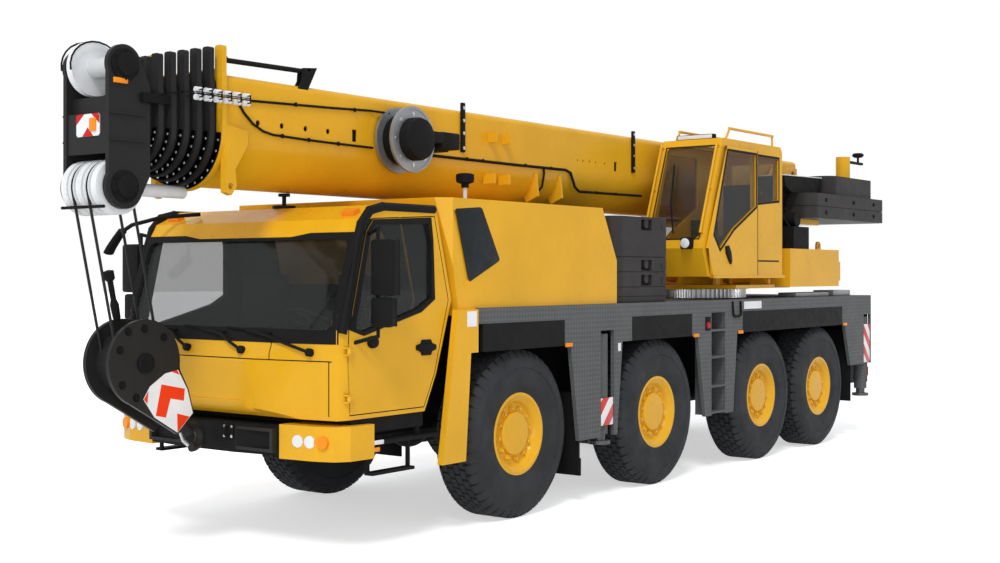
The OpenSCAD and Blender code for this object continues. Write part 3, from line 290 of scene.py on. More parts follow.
def lay_floor():
    mesh = bpy.data.meshes.new("floor")
    corners = [(x * FLOOR_HALF, y * FLOOR_HALF, 0) for x, y in ((-1, -1), (1, -1), (1, 1), (-1, 1))]
    mesh.from_pydata(corners, [], [(0, 1, 2, 3)])
    f = Finish("pale_floor")
    f.join(f.mix(f.patches(0.6), (0.80, 0.80, 0.80, 1), (0.82, 0.82, 0.82, 1)), "Base Color")
    f.set(Roughness=0.9, Emission_Color=(1, 1, 1, 1))
    f.join(f.math("MULTIPLY", seen_rays(f.tree), FLOOR_LIFT), "Emission Strength")
    mesh.materials.append(f.material)
    link("floor", mesh)


def fill_sky():
    world = bpy.data.worlds.new("studio")
    bpy.context.scene.world = world
    world.use_nodes = True
    tree = world.node_tree
    shown = tree.nodes["Background"]
    shown.inputs["Color"].default_value = (1, 1, 1, 1)
    shown.inputs["Strength"].default_value = 1.0
    ambient = add_node(tree, "ShaderNodeBackground", {"Color": AMBIENT_COLOUR, "Strength": AMBIENT})
    mix = add_node(tree, "ShaderNodeMixShader",
                   {0: seen_rays(tree), 1: ambient.outputs[0], 2: shown.outputs[0]})
    tree.links.new(mix.outputs[0], tree.nodes["World Output"].inputs["Surface"])


aim_camera()
light_scene()
lay_floor()
fill_sky()
bpy.context.scene.view_settings.view_transform = "Standard"


# Shapes for the small parts

SHARP_ANGLE, SHARP_ANGLE_JOINED = math.radians(35), math.radians(32)
PLANES = {"xz": (0, 2, 1), "yz": (1, 2, 0), "xy": (0, 1, 2)}


def rectangle(a, b):
    return [(a[0], b[0]), (a[1], b[0]), (a[1], b[1]), (a[0], b[1])]


def about(middle, half):
    return (middle - half, middle + half)


def across(sign, near, far):
    """Two places on the side that the sign gives, the lower first."""
    return sorted((sign * near, sign * far))


def round_angles(count):
    return [2 * math.pi * k / count for k in range(count)]


class Shape:
    """A mesh in the part's own frame, in metres, with x counted from the front axle."""

    def __init__(self):
        self.bm = bmesh.new()

    def loft(self, rings):
        """Skin over rings of as many points each, its ends closed."""
        rings = [[self.bm.verts.new(p) for p in ring] for ring in rings]
        faces = [self.bm.faces.new(rings[0]), self.bm.faces.new(rings[-1][::-1])]
        for a, b in zip(rings, rings[1:]):
            for k in range(len(a)):
                faces.append(self.bm.faces.new((a[k - 1], a[k], b[k], b[k - 1])))
        bmesh.ops.recalc_face_normals(self.bm, faces=faces)
        return self

    def prism(self, outline, plane, lo, hi, bevel=0.0):
        """Outline in plane xz, yz or xy, from lo to hi along the third axis."""
        before = set(self.bm.edges)
        rings = []
        for t in (lo, hi):
            rings.append([])
            for a, b in outline:
                p = [0, 0, 0]
                for k, v in zip(PLANES[plane], (a, b, t)):
                    p[k] = v
                rings[-1].append(p)
        self.loft(rings)
        if bevel:
            made = [e for e in self.bm.edges if e not in before and e.calc_face_angle(0) > 0.5]
            bmesh.ops.bevel(self.bm, geom=made, offset=bevel, segments=2, affect="EDGES", profile=0.5)
        return self

    def block(self, x, y, z, bevel=0.0):
        return self.prism(rectangle(x, z), "xz", y[0], y[1], bevel)

    def ring(self, outer, inner, plane, lo, hi):
        """Flat frame between two outlines with as many corners each."""
        for i in range(len(outer)):
            j = (i + 1) % len(outer)
            self.prism([outer[i], outer[j], inner[j], inner[i]], plane, lo, hi)
        return self

    def cover(self, grid, lift, sink):
        """Closed sheet over a grid of points, from sink below to lift above it."""
        layers = [[[self.bm.verts.new(Vector(p) + d) for p in row] for row in grid] for d in (lift, sink)]
        rows, cols = len(grid), len(grid[0])
        faces = []
        for layer in layers:
            for a, b in zip(layer, layer[1:]):
                for j in range(cols - 1):
                    faces.append(self.bm.faces.new((a[j], a[j + 1], b[j + 1], b[j])))
        rim = [(0, j) for j in range(cols)] + [(i, cols - 1) for i in range(1, rows)]
        rim += [(rows - 1, j) for j in range(cols - 2, -1, -1)] + [(i, 0) for i in range(rows - 2, 0, -1)]
        a, b = layers
        for (i, j), (k, m) in zip(rim, rim[1:] + rim[:1]):
            faces.append(self.bm.faces.new((a[i][j], b[i][j], b[k][m], a[k][m])))
        bmesh.ops.recalc_face_normals(self.bm, faces=faces)
        return self

    def sweep(self, points, radius, sides=10, flat=1.0):
        """Tube along a polyline, its ends closed."""
        pts = [Vector(p) for p in points]
        rings, last = [], None
        for i, p in enumerate(pts):
            t = (pts[min(i + 1, len(pts) - 1)] - pts[max(i - 1, 0)]).normalized()
            side = t.cross(Vector(UP))
            if side.length < 1e-4:
                side = t.cross(Vector(AHEAD))
            side.normalize()
            if last and side.dot(last) < 0:
                side = -side
            last = side
            high = side.cross(t).normalized()
            rings.append([p + radius * (math.cos(a) * side + flat * math.sin(a) * high)
                          for a in round_angles(sides)])
        return self.loft(rings)

    def turned(self, profile, centre, axis, sides=48):
        """Profile of (radius, place along the axis) pairs, turned about an axis through centre."""
        axis = Vector(axis).normalized()
        u = axis.orthogonal().normalized()
        v = axis.cross(u)
        rings = []
        for r, t in profile:
            middle = Vector(centre) + axis * t
            spots = [middle]
            if r > 1e-6:
                spots = [middle + r * (math.cos(a) * u + math.sin(a) * v) for a in round_angles(sides)]
            rings.append([self.bm.verts.new(p) for p in spots])
        faces = []
        for a, b in zip(rings, rings[1:]):
            for k in range(sides if len(a) + len(b) > 2 else 0):
                j = (k + 1) % sides
                if len(a) == 1:
                    corners = (a[0], b[k], b[j])
                elif len(b) == 1:
                    corners = (a[k], b[0], a[j])
                else:
                    corners = (a[k], b[k], b[j], a[j])
                faces.append(self.bm.faces.new(corners))
        bmesh.ops.recalc_face_normals(self.bm, faces=faces)
        return self

    def weld(self):
        """Merges the ends of a turned profile that closes on itself."""
        bmesh.ops.remove_doubles(self.bm, verts=self.bm.verts, dist=1e-5)
        bmesh.ops.recalc_face_normals(self.bm, faces=self.bm.faces)
        return self

    def mesh(self, name, place=Matrix.Identity(4)):
        mesh = bpy.data.meshes.new(name)
        copy = self.bm.copy()
        bmesh.ops.transform(copy, matrix=place, verts=copy.verts)
        if place.determinant() < 0:
            bmesh.ops.reverse_faces(copy, faces=copy.faces)
        copy.to_mesh(mesh)
        copy.free()
        return shaded(mesh, SHARP_ANGLE)


def shaded(mesh, angle):
    """Smooth shading, with edges past an angle left sharp."""
    mesh.polygons.foreach_set("use_smooth", [True] * len(mesh.polygons))
    mesh.set_sharp_from_angle(angle=angle)
    return mesh


SHIFT = Matrix.Translation((FRONT_AXLE, 0, 0))
MIRROR = Matrix.Scale(-1, 4, ACROSS)


def piece(name, mesh, finish, body):
    """Links a finished mesh as a piece that rides on a body."""
    obj = link(name, mesh)
    mesh.materials.clear()
    mesh.materials.append(finish)
    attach(obj, body)
    return obj


def put(name, shape, finish, body, mirrored=False):
    """A piece from a shape drawn from the front axle."""
    return piece(name, shape.mesh(name, SHIFT @ MIRROR if mirrored else SHIFT), finish, body)


# Trees that lay out what repeats

WASHER, HEXAGON = (16, 1.5, 0.35), (6, 1.0, 1.6)  # sides, and shares of a bolt head's radius and height


def tree_with(name, sockets):
    """An empty geometry tree with the named inputs, and what they give."""
    tree = bpy.data.node_groups.new(name, "GeometryNodeTree")
    for label, kind in [("Geometry", "Geometry")] + sockets + [("Finish", "Material")]:
        tree.interface.new_socket(label, in_out="INPUT", socket_type="NodeSocket" + kind)
    tree.interface.new_socket("Geometry", in_out="OUTPUT", socket_type="NodeSocketGeometry")
    return tree, tree.nodes.new("NodeGroupInput").outputs


def close_tree(tree, given, points, item, turn):
    """Copies of an item at the points, made real and given their finish, which end each tree."""
    inputs = {"Points": points, "Instance": item, "Rotation": turn}
    copies = add_node(tree, "GeometryNodeInstanceOnPoints", inputs)
    real = add_node(tree, "GeometryNodeRealizeInstances", {"Geometry": copies.outputs[0]})
    painted = add_node(tree, "GeometryNodeSetMaterial",
                       {"Geometry": real.outputs[0], "Material": given["Finish"]})
    add_node(tree, "NodeGroupOutput", {"Geometry": painted.outputs[0]})
    return tree


def ring_tree():
    """Copies of an item round a circle about Z, each with its X axis pointing outwards."""
    sockets = [("Count", "Int"), ("Radius", "Float"), ("Turn", "Float"), ("Item", "Object")]
    tree, given = tree_with("ring_of_items", sockets)
    circle = add_node(tree, "GeometryNodeMeshCircle", {"Vertices": given["Count"], "Radius": given["Radius"]})
    spin = add_node(tree, "ShaderNodeCombineXYZ", {"Z": given["Turn"]})
    points = add_node(tree, "GeometryNodeTransform",
                      {"Geometry": circle.outputs[0], "Rotation": spin.outputs[0]})
    place = add_node(tree, "GeometryNodeInputPosition")
    outwards = add_node(tree, "FunctionNodeAlignRotationToVector", {"Vector": place.outputs[0]},
                        axis="X", pivot_axis="Z")
    item = add_node(tree, "GeometryNodeObjectInfo", {"Object": given["Item"]})
    return close_tree(tree, given, points.outputs[0], item.outputs["Geometry"], outwards.outputs[0])


def bolt_tree():
    """Hexagon heads on washers at the points of a mesh, along each point's facing."""
    tree, given = tree_with("bolts_at_points", [("Head radius", "Float"), ("Head height", "Float")])
    both = add_node(tree, "GeometryNodeJoinGeometry")
    for sides, wide, tall in (WASHER, HEXAGON):
        size = {"Vertices": sides}
        for label, socket, share in (("Head radius", "Radius", wide), ("Head height", "Depth", tall)):
            scaled = add_node(tree, "ShaderNodeMath", {0: given[label], 1: share}, operation="MULTIPLY")
            size[socket] = scaled.outputs[0]
        part = add_node(tree, "GeometryNodeMeshCylinder", size)
        tree.links.new(part.outputs["Mesh"], both.inputs[0])
    facing = add_node(tree, "GeometryNodeInputNamedAttribute", {"Name": "facing"}, data_type="FLOAT_VECTOR")
    turn = add_node(tree, "FunctionNodeAlignRotationToVector", {"Vector": facing.outputs[0]}, axis="Z")
    return close_tree(tree, given, given["Geometry"], both.outputs[0], turn.outputs[0])


RING = ring_tree()
BOLTS = bolt_tree()


def grow(tree, start, values):
    """Runs a tree on a mesh and returns the result as a plain mesh."""
    maker = link("maker", start)
    step = maker.modifiers.new("grow", "NODES")
    step.node_group = tree
    for item in tree.interface.items_tree:
        if item.in_out == "INPUT" and item.name in values:
            step[item.identifier] = values[item.name]
    depsgraph = bpy.context.evaluated_depsgraph_get()
    mesh = bpy.data.meshes.new_from_object(maker.evaluated_get(depsgraph), depsgraph=depsgraph)
    maker.modifiers.remove(step)
    bpy.data.objects.remove(maker)
    return mesh


def ring_of(shape, count, radius, turn, finish, place):
    """Mesh of a ring of copies of a shape, brought to its place."""
    item = link("item", shape.mesh("item"))
    values = {"Count": count, "Radius": radius, "Turn": turn, "Item": item, "Finish": finish}
    mesh = grow(RING, bpy.data.meshes.new("start"), values)
    bpy.data.objects.remove(item)
    mesh.transform(place)
    return mesh


def bolts(name, points, radius, height, finish, body):
    """Bolt heads at (place, facing) pairs counted from the front axle, as one piece."""
    mesh = bpy.data.meshes.new("points")
    mesh.from_pydata([SHIFT @ Vector(p) for p, _ in points], [], [])
    facing = mesh.attributes.new("facing", "FLOAT_VECTOR", "POINT")
    facing.data.foreach_set("vector", [c for _, d in points for c in Vector(d).normalized()])
    made = grow(BOLTS, mesh, {"Head radius": radius, "Head height": height, "Finish": finish})
    made.polygons.foreach_set("use_smooth", [False] * len(made.polygons))
    return piece(name, made, finish, body)


def joined(name, meshes):
    """One mesh from several."""
    bm = bmesh.new()
    for m in meshes:
        bm.from_mesh(m)
    mesh = bpy.data.meshes.new(name)
    bm.to_mesh(mesh)
    bm.free()
    return shaded(mesh, SHARP_ANGLE_JOINED)


# Wheels, drawn about the origin with the outer face towards +Y

TREAD_R = 0.7470
TREAD_DEPTH = 0.022
TREAD_PITCHES = 46
TREAD_ROOT, TREAD_SPLAY, TREAD_SLANT = -0.014, 0.006, 0.12
# Each row's edges across, share of the pitch, whether it rolls over the shoulder, and its turn in pitches
TREAD_ROWS = [(0.006, 0.058, 0.82, False, 0.0), (0.067, 0.120, 0.80, False, 0.5),
              (0.129, 0.200, 0.76, True, 0.0)]
UPRIGHT = Matrix.Rotation(math.radians(-90), 4, "X")

TYRE_HALF = [(0.346, 0.150), (0.352, 0.174), (0.372, 0.183), (0.404, 0.190), (0.412, 0.196), (0.450, 0.204),
             (0.520, 0.2105), (0.566, 0.2115), (0.588, 0.2110), (0.594, 0.2172), (0.606, 0.2165),
             (0.640, 0.2100), (0.680, 0.198), (0.706, 0.182), (0.720, 0.160), (TREAD_R - TREAD_DEPTH, 0.120)]


def tread_block(lo, hi, length, shoulder):
    """One block from lo to hi across, its top flat or rolled over the shoulder, X outwards and Z across."""
    if shoulder:
        outline = [(lo, TREAD_ROOT), (hi, -0.060), (hi + 0.002, -0.046), (hi - 0.012, -0.020),
                   (hi - 0.030, 0.002), (hi - 0.046, TREAD_DEPTH), (lo, TREAD_DEPTH)]
    else:
        outline = rectangle((lo, hi), (TREAD_ROOT, TREAD_DEPTH))
    rings = []
    for end in (-1, 1):
        rings.append([])
        for z, x in outline:
            splay = TREAD_SPLAY if x < 0 else 0.0
            rings[-1].append((x, end * length / 2 + end * splay + TREAD_SLANT * (z - lo), z))
    return Shape().loft(rings)


def tyre_mesh():
    floor = TREAD_R - TREAD_DEPTH
    profile = TYRE_HALF + [(r, -y) for r, y in reversed(TYRE_HALF)] + TYRE_HALF[:1]
    carcass = Shape().turned(profile, (0, 0, 0), ACROSS, 96).weld()
    pitch = 2 * math.pi / TREAD_PITCHES
    long = floor * pitch
    parts = [carcass.mesh("carcass")]
    flip = Matrix.Rotation(math.pi, 4, "X")
    for lo, hi, share, shoulder, turn in TREAD_ROWS:
        shape = tread_block(lo, hi, long * share, shoulder)
        for side, extra in ((Matrix.Identity(4), 0.0), (flip, 0.5)):
            parts.append(ring_of(shape, TREAD_PITCHES, floor, (turn + extra) * pitch, RUBBER, UPRIGHT @ side))
    return joined("tyre", parts)


RIM_PROFILE = [(0.3690, 0.165), (0.3715, 0.176), (0.3660, 0.1830), (0.3420, 0.1830), (0.3360, 0.1770),
               (0.3050, 0.1610), (0.2880, 0.149), (0.2780, 0.128), (0.2700, 0.1150), (0.2600, 0.1110),
               (0.1980, 0.1110), (0.1940, 0.115), (0.1915, 0.140), (0.1860, 0.1465), (0.1600, 0.1490),
               (0.0, 0.1500), (0.0, 0.1410), (0.0810, 0.1410), (0.0810, 0.0960), (0.3160, 0.0960),
               (0.3300, 0.084), (0.3300, -0.163), (0.3660, -0.176), (0.3690, -0.165), (0.3460, -0.150),
               (0.3450, 0.150), (0.3690, 0.165)]
NUT_RING_R = 0.227
NUT_COUNT = 12


def rim_mesh():
    dish = Shape().turned(RIM_PROFILE, (0, 0, 0), ACROSS, 72).weld()
    boss = Shape().turned([(0.0, 0.104), (0.026, 0.104), (0.026, 0.122), (0.022, 0.127), (0.0, 0.127)],
                          (0, 0, 0), UP, 14)
    boss.prism([(-0.036, -0.020), (-0.002, -0.024), (-0.002, 0.024), (-0.036, 0.020)], "xy", 0.104, 0.124,
               0.003)
    nut = Shape().turned([(0.0, 0.126), (0.0165, 0.126), (0.0165, 0.142), (0.0140, 0.145), (0.0, 0.145)],
                         (0, 0, 0), UP, 6)
    parts = [dish.mesh("dish")]
    for shape in (boss, nut):
        parts.append(ring_of(shape, NUT_COUNT, NUT_RING_R, 0.0, YELLOW, UPRIGHT))
    return joined("rim", parts)


def fit_wheels():
    tyre, rim = tyre_mesh(), rim_mesh()
    for a, x in enumerate(AXLES, 1):
        for side, sign in SIDES:
            name = "%d_%s" % (a, side)
            spot = Matrix.Translation((FRONT_AXLE + x, sign * WHEEL_Y, WHEEL_Z))
            half_turn = Matrix.Rotation(0.0 if sign > 0 else math.pi, 4, "Z")
            face_out = spot @ half_turn @ Matrix.Rotation(0.7 * a + sign, 4, "Y")
            for kind, mesh, finish in (("tyre", tyre, RUBBER), ("rim", rim, YELLOW)):
                copy = mesh.copy()
                copy.transform(face_out)
                obj = piece("%s_%s" % (kind, name), copy, finish, "wheel_" + name)
                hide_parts("wheel_" + name)


fit_wheels()


# Outlines in the part's source, in metres, that the small parts follow

CAB_HALF = 1.270
CAB_FRONT = [(1.050, 2.310), (1.110, 2.360), (1.480, 2.372), (1.725, 2.290), (2.455, 2.065), (2.600, 1.985),
             (2.720, 1.720)]
CAB_NOSE, CAB_BOW_R, CAB_CORNER_R = 2.380, 6.0, 0.260
SCREEN_Y, SCREEN_Z, SCREEN_ROUND = 1.190, (1.742, 2.440), 0.070
SILL_Z = 1.632
BROW_Z, BROW_RISE, BROW_Y, BROW_RUN = 2.466, 0.03, 0.55, 0.2
NOSE_FLAP_Y, NOSE_FLAP_FLAT, NOSE_FLAP_Z = 0.46, 0.36, (1.075, 1.165)
DOOR_WINDOW = [(1.325, 1.890), (1.985, 1.722), (2.085, 1.748), (1.905, 2.500), (1.850, 2.555), (1.215, 2.580),
               (1.168, 2.430), (1.168, 1.975)]
DOOR_TRIM = [(1.300, 1.860), (1.990, 1.690), (2.147, 1.738), (1.958, 2.498), (1.878, 2.597), (1.178, 2.634),
             (1.150, 2.440), (1.128, 1.962)]
CRANE_OUT = 1.320
CRANE_NOSE, CRANE_LEAN, CRANE_FOOT, CRANE_RISE = -3.350, 0.480, 2.450, 1.240
CRANE_DOOR_IN, CRANE_DOOR_OUT = 1.326, 1.360
CRANE_SCREEN_Y, CRANE_SCREEN_Z = (0.630, 1.250), (2.560, 3.600)
CRANE_WINDOW = [(-4.565, 2.950), (-4.010, 2.680), (-3.690, 2.450), (-3.560, 2.600), (-3.880, 3.540),
                (-4.565, 3.540)]
CRANE_REAR_WINDOW = [(-5.250, 3.050), (-4.685, 3.000), (-4.685, 3.540), (-5.250, 3.540)]
HOOD_Z, HOOD_HALF = 2.810, 1.300
GRILLE_PANEL = [(0.900, 2.706), (0.885, 2.718), (0.560, 2.742), (0.530, 2.728), (0.285, 2.300),
                (0.298, 2.280), (0.700, 2.106), (0.720, 2.112)]
BOOM_HALF = 0.415
BELLY_Z = 3.275
COLLAR_X, COLLAR_L, COLLAR_STEP, SECTION_STEP = 2.650, 0.046, 0.096, 0.032
GUIDE_Z, GUIDE_GAP = 3.524, 0.028
REEL_X, REEL_Z = 0.660, 3.355
HEAD_FACE, HEAD_FRONT = 0.272, 3.610
PIN_X, PIN_TOP, PIN_LOW = 3.470, 3.700, 2.810


def inset(points, t):
    """Moves the corners of an anticlockwise outline in by t."""
    made = []
    for i, p in enumerate(points):
        before, after = Vector(points[i - 1]), Vector(points[(i + 1) % len(points)])
        u, v = (Vector(p) - before).normalized(), (after - Vector(p)).normalized()
        a, b = Vector((-u.y, u.x)), Vector((-v.y, v.x))
        made.append(tuple(Vector(p) + (a + b) * t / (1 + a.dot(b))))
    return made


def recolour(node, test, finish):
    """A second finish for the faces whose middle, x from the front axle, and direction pass a test."""
    mesh = NODES[node].data
    mesh.materials.append(finish)
    last = len(mesh.materials) - 1
    for face in mesh.polygons:
        c = NODES[node].matrix_world @ face.center
        if test(c.x - FRONT_AXLE, c.y, c.z, face.normal):
            face.material_index = last


def along(points, x):
    """Second value at x on a polyline of (x, value) pairs."""
    for (x0, v0), (x1, v1) in zip(points, points[1:]):
        if x <= x1:
            break
    return v0 + (v1 - v0) * (x - x0) / (x1 - x0)


def cab_front_x(y, z):
    """Front face of the driver's cab at a place across and a height."""
    bow = CAB_NOSE - CAB_BOW_R + math.sqrt(CAB_BOW_R ** 2 - y * y)
    round_off = max(0.0, abs(y) - CAB_HALF + CAB_CORNER_R)
    corner = CAB_NOSE - CAB_CORNER_R + math.sqrt(max(0.0, CAB_CORNER_R ** 2 - round_off ** 2))
    return min(along(CAB_FRONT, z), bow, corner)


def crane_front_x(y, z):
    """Front face of the crane cab, which leans back and is flat across."""
    return CRANE_NOSE - CRANE_LEAN * (z - CRANE_FOOT) / CRANE_RISE


def front_sheet(shape, y, low, high, surface, rows=3, step=0.06, out=0.004, aside=0.0):
    """Sheet on a front face from y[0] to y[1], its lower and upper edges given across."""
    n = max(2, int((y[1] - y[0]) / step))
    grid = []
    for k in range(rows + 1):
        row = []
        for i in range(n + 1):
            t = y[0] + (y[1] - y[0]) * i / n
            z = low(t) + (high(t) - low(t)) * k / rows
            row.append((surface(t, z), t, z))
        grid.append(row)
    return shape.cover(grid, Vector((out, aside, 0)), Vector((-0.002, -aside / 2, 0)))


def off_face(surface, y, z, out):
    """A point in front of a face, at a place across and a height."""
    return Vector((surface(y, z) + out, y, z))


def level(z):
    return lambda y: z


# Driver's cab

def lies_inside(middle):
    """Test for faces that look towards a middle point: the lining of a hollow shell."""
    return lambda x, y, z, normal: normal.dot(Vector((x, y, z)) - Vector(middle)) < 0


def screen_corner(y):
    """Height left over the round corner of the windscreen at a place across."""
    run = abs(y) - SCREEN_Y + SCREEN_ROUND
    return SCREEN_ROUND - math.sqrt(max(0.0, SCREEN_ROUND ** 2 - run ** 2))


def brow_z(y):
    """Upper edge of the black band over the windscreen, which steps up towards the sides."""
    return BROW_Z + BROW_RISE * min(1, max(0, (abs(y) - BROW_Y) / BROW_RUN))


def flap_z(y):
    """Upper edge of the flap in the cab's nose, its corners cut off."""
    return NOSE_FLAP_Z[1] - max(0, abs(y) - NOSE_FLAP_FLAT)


PILLAR = [(2.149, 1.745), (2.149, 2.180), (2.063, 2.455), (1.984, 2.597), (1.889, 2.602), (1.966, 2.505)]


def dress_cab_front():
    surround = Shape()
    edge = CAB_HALF - 0.002
    front_sheet(surround, (-edge, edge), level(SILL_Z), level(SCREEN_Z[0]), cab_front_x, step=0.03)
    front_sheet(surround, (-edge, edge), level(SCREEN_Z[1]), brow_z, cab_front_x, step=0.03)
    for sign in (-1, 1):
        front_sheet(surround, across(sign, SCREEN_Y, CAB_HALF), level(SCREEN_Z[0]), level(SCREEN_Z[1]),
                    cab_front_x, rows=8, step=0.004, aside=sign * 0.003)
        bend = across(sign, SCREEN_Y - SCREEN_ROUND, SCREEN_Y)
        front_sheet(surround, bend, lambda t: SCREEN_Z[1] - screen_corner(t), level(SCREEN_Z[1]), cab_front_x,
                    rows=2, step=0.01)
        front_sheet(surround, bend, level(SCREEN_Z[0]), lambda t: SCREEN_Z[0] + screen_corner(t), cab_front_x,
                    rows=2, step=0.01)
        surround.prism(PILLAR, "xz", *across(sign, CAB_HALF - 0.001, CAB_HALF + 0.002))
    put("windscreen_surround", surround, BLACK, "carrier")
    recolour("cab_shell", lambda x, y, z, n: x > 1.95 and abs(y) < SCREEN_Y + 0.002
             and SCREEN_Z[0] - 0.002 < z < SCREEN_Z[1] + 0.002, BLACK)
    recolour("cab_shell", lies_inside((1.60, 0, 1.80)), LINING)

    seams = Shape()
    front_sheet(seams, (-1.19, 1.19), level(1.496), level(1.504), cab_front_x, rows=1, out=0.0015)
    for y, z0, z1 in ((-1.165, 1.08, 1.50), (1.165, 1.08, 1.50), (-0.60, 1.504, SILL_Z),
                      (0.60, 1.504, SILL_Z)):
        front_sheet(seams, about(y, 0.004), level(z0), level(z1), cab_front_x, rows=6, out=0.0015)
    put("cab_front_seams", seams, UNDER, "carrier")

    panel = Shape()
    front_sheet(panel, about(0, NOSE_FLAP_Y), level(NOSE_FLAP_Z[0]), flap_z, cab_front_x, rows=2, out=0.014)
    put("cab_front_flap", panel, YELLOW, "carrier")

    mirror = Shape().sweep([(1.86, -0.78, 2.690), (2.12, -0.98, 2.660), (2.34, -1.10, 2.590),
                            (2.42, -1.16, 2.520)], 0.018, 10)
    mirror.sweep([(2.415, -1.13, 2.540), (2.430, -1.18, 2.480), (2.440, -1.25, 2.400), (2.440, -1.29, 2.350)],
                 0.052, 14, 0.55)
    put("kerb_mirror", mirror, BLACK, "carrier")


WIPERS = [(-0.361, -0.574, -1.02), (0.290, 0.032, -0.46), (1.004, 0.560, 0.06)]


def fit_wipers():
    arms, blades = Shape(), Shape()
    for pivot_y, bend_y, end_y in WIPERS:
        low = off_face(cab_front_x, pivot_y, 1.570, 0.030)
        bend = off_face(cab_front_x, bend_y, 1.688, 0.035)
        middle = off_face(cab_front_x, (bend_y + end_y) / 2, 1.722, 0.028)
        arms.sweep([low, low.lerp(bend, 0.5) + Vector((0.012, 0, 0)), bend, middle], 0.013, 8)
        arms.turned([(0.0, -0.030), (0.032, -0.030), (0.032, 0.006), (0.022, 0.018), (0.0, 0.018)], low,
                    (1, 0, 0.15), 20)
        tips = [off_face(cab_front_x, *tip, 0.014) for tip in ((bend_y + 0.02, 1.704), (end_y, 1.742))]
        blades.sweep([tips[0], tips[0].lerp(tips[1], 0.5) + Vector((0.006, 0, 0)), tips[1]], 0.010, 8)
    put("wiper_arms", arms, BLACK, "carrier")
    put("wiper_blades", blades, UNDER, "carrier")


MIRROR_Y = CAB_HALF + 0.150
MIRRORS = [((2.030, 2.410), (2.004, 2.436), 0.175), ((1.787, 1.968), (1.764, 1.991), 0.145)]
GRIP = [(1.125, 1.590), (1.125, 1.548), (1.175, 1.536), (1.190, 1.505), (1.300, 1.505), (1.315, 1.540),
        (1.372, 1.552), (1.372, 1.592), (1.315, 1.604), (1.300, 1.634), (1.190, 1.634), (1.175, 1.604)]


def dress_door(side, sign):
    mirrored = sign < 0
    body = "door_" + side
    trim = Shape().ring(DOOR_TRIM, DOOR_WINDOW, "xz", CAB_HALF + 0.0003, CAB_HALF + 0.003)
    put("door_trim_" + side, trim, BLACK, body, mirrored)
    near, far = CAB_HALF + 0.010, CAB_HALF + 0.040
    grip = Shape().prism(GRIP, "xz", CAB_HALF - 0.010, CAB_HALF + 0.014, 0.006)
    grip.sweep([(1.140, near, 1.572), (1.175, far, 1.573), (1.315, far, 1.575), (1.355, near, 1.574)], 0.014,
               10, 1.5)
    grip.turned([(0.0, -0.020), (0.046, -0.020), (0.050, 0.010), (0.042, 0.034), (0.020, 0.044),
                 (0.0, 0.045)], (1.905, CAB_HALF + 0.012, 1.640), ACROSS, 24)
    put("door_handle_" + side, grip, BLACK, body, mirrored)
    node = "cab_door_" + side
    recolour(node, lambda x, y, z, n: (abs(y) > CAB_HALF + 0.004 and x < 2.12) or
             (CAB_HALF - 0.059 < abs(y) < CAB_HALF - 0.001 and 1.16 < x < 2.09 and 1.72 < z < 2.58), BLACK)
    recolour(node, lambda x, y, z, n: abs(y) < CAB_HALF - 0.002 and n.y * sign < -0.9, LINING)
    recolour(node, lambda x, y, z, n: n.x > 0.3 and z > 1.70, BLACK)
    glass, caps = Shape(), Shape()
    for glass_z, cap_z, wide in MIRRORS:
        glass.block((1.9465, 1.9500), (MIRROR_Y - 0.005, MIRROR_Y + wide), glass_z)
        caps.block((1.975, 2.056), (MIRROR_Y - 0.026, MIRROR_Y + wide + 0.021), cap_z, 0.022)
    put("mirror_faces_" + side, glass, CHROME, body, mirrored)
    put("mirror_backs_" + side, caps, BLACK, body, mirrored)


def dress_bumper():
    plate = Shape()
    for lo, hi in ((0.300, 0.735), (-0.735, -0.300)):
        inside = rectangle((lo + 0.030, hi - 0.030), (0.815, 0.950))
        plate.ring(rectangle((lo, hi), (0.790, 0.975)), inside, "yz", 2.395, 2.447)
    put("bumper_frames", plate, CHARCOAL, "carrier")
    eye = Shape().block((2.448, 2.462), (0.19, 0.31), (0.870, 0.985), 0.006)
    hoop = []
    for k in range(11):
        a = math.pi * k / 10
        hoop.append((2.455 + 0.045 * math.sin(a), 0.25, 0.930 + 0.042 * math.cos(a)))
    eye.sweep(hoop, 0.011, 10)
    put("tow_eye", eye, UNDER, "carrier")
    heads = [((2.462, y, z), AHEAD) for y in (0.208, 0.292) for z in (0.888, 0.967)]
    bolts("bumper_bolts", heads, 0.008, 0.007, STEEL, "carrier")
    white, amber = Shape(), Shape()
    for sign in (-1, 1):
        y = across(sign, 1.329, 1.342)
        white.block((1.835, 1.990), y, (0.846, 0.880), 0.004)
        amber.block((1.880, 1.990), y, (0.792, 0.826), 0.004)
    put("step_lamps", white, CLEAR, "carrier")
    put("step_markers", amber, AMBER, "carrier")
    recolour("lamps", lambda x, y, z, n: x > 1.9 and z < 1.2 and abs(y) < 1.10, CLEAR)
    recolour("lamps", lambda x, y, z, n: x < -7.0, RED)


dress_cab_front()
fit_wipers()
dress_bumper()
for side, sign in SIDES:
    dress_door(side, sign)


# Hood and deck

def dress_hood():
    panel = Shape().prism(GRILLE_PANEL, "xz", HOOD_HALF - 0.002, HOOD_HALF + 0.004, 0.002)
    for side, sign in SIDES:
        put("grille_panel_" + side, panel, GRILLE_MESH, "carrier", sign < 0)
    foot = (0.39, 1.0, HOOD_Z)
    stem = Shape().turned([(0.0, 0.0), (0.040, 0.0), (0.040, 0.010), (0.018, 0.014), (0.018, 0.120),
                           (0.0, 0.120)], foot, UP, 24)
    put("hood_aerial_stem", stem, ALUMINIUM, "carrier")
    cap = Shape().turned([(0.0, 0.118), (0.034, 0.118), (0.034, 0.150), (0.076, 0.166), (0.082, 0.196),
                          (0.080, 0.236), (0.050, 0.246), (0.0, 0.248)], foot, UP, 32)
    put("hood_aerial", cap, UNDER, "carrier")


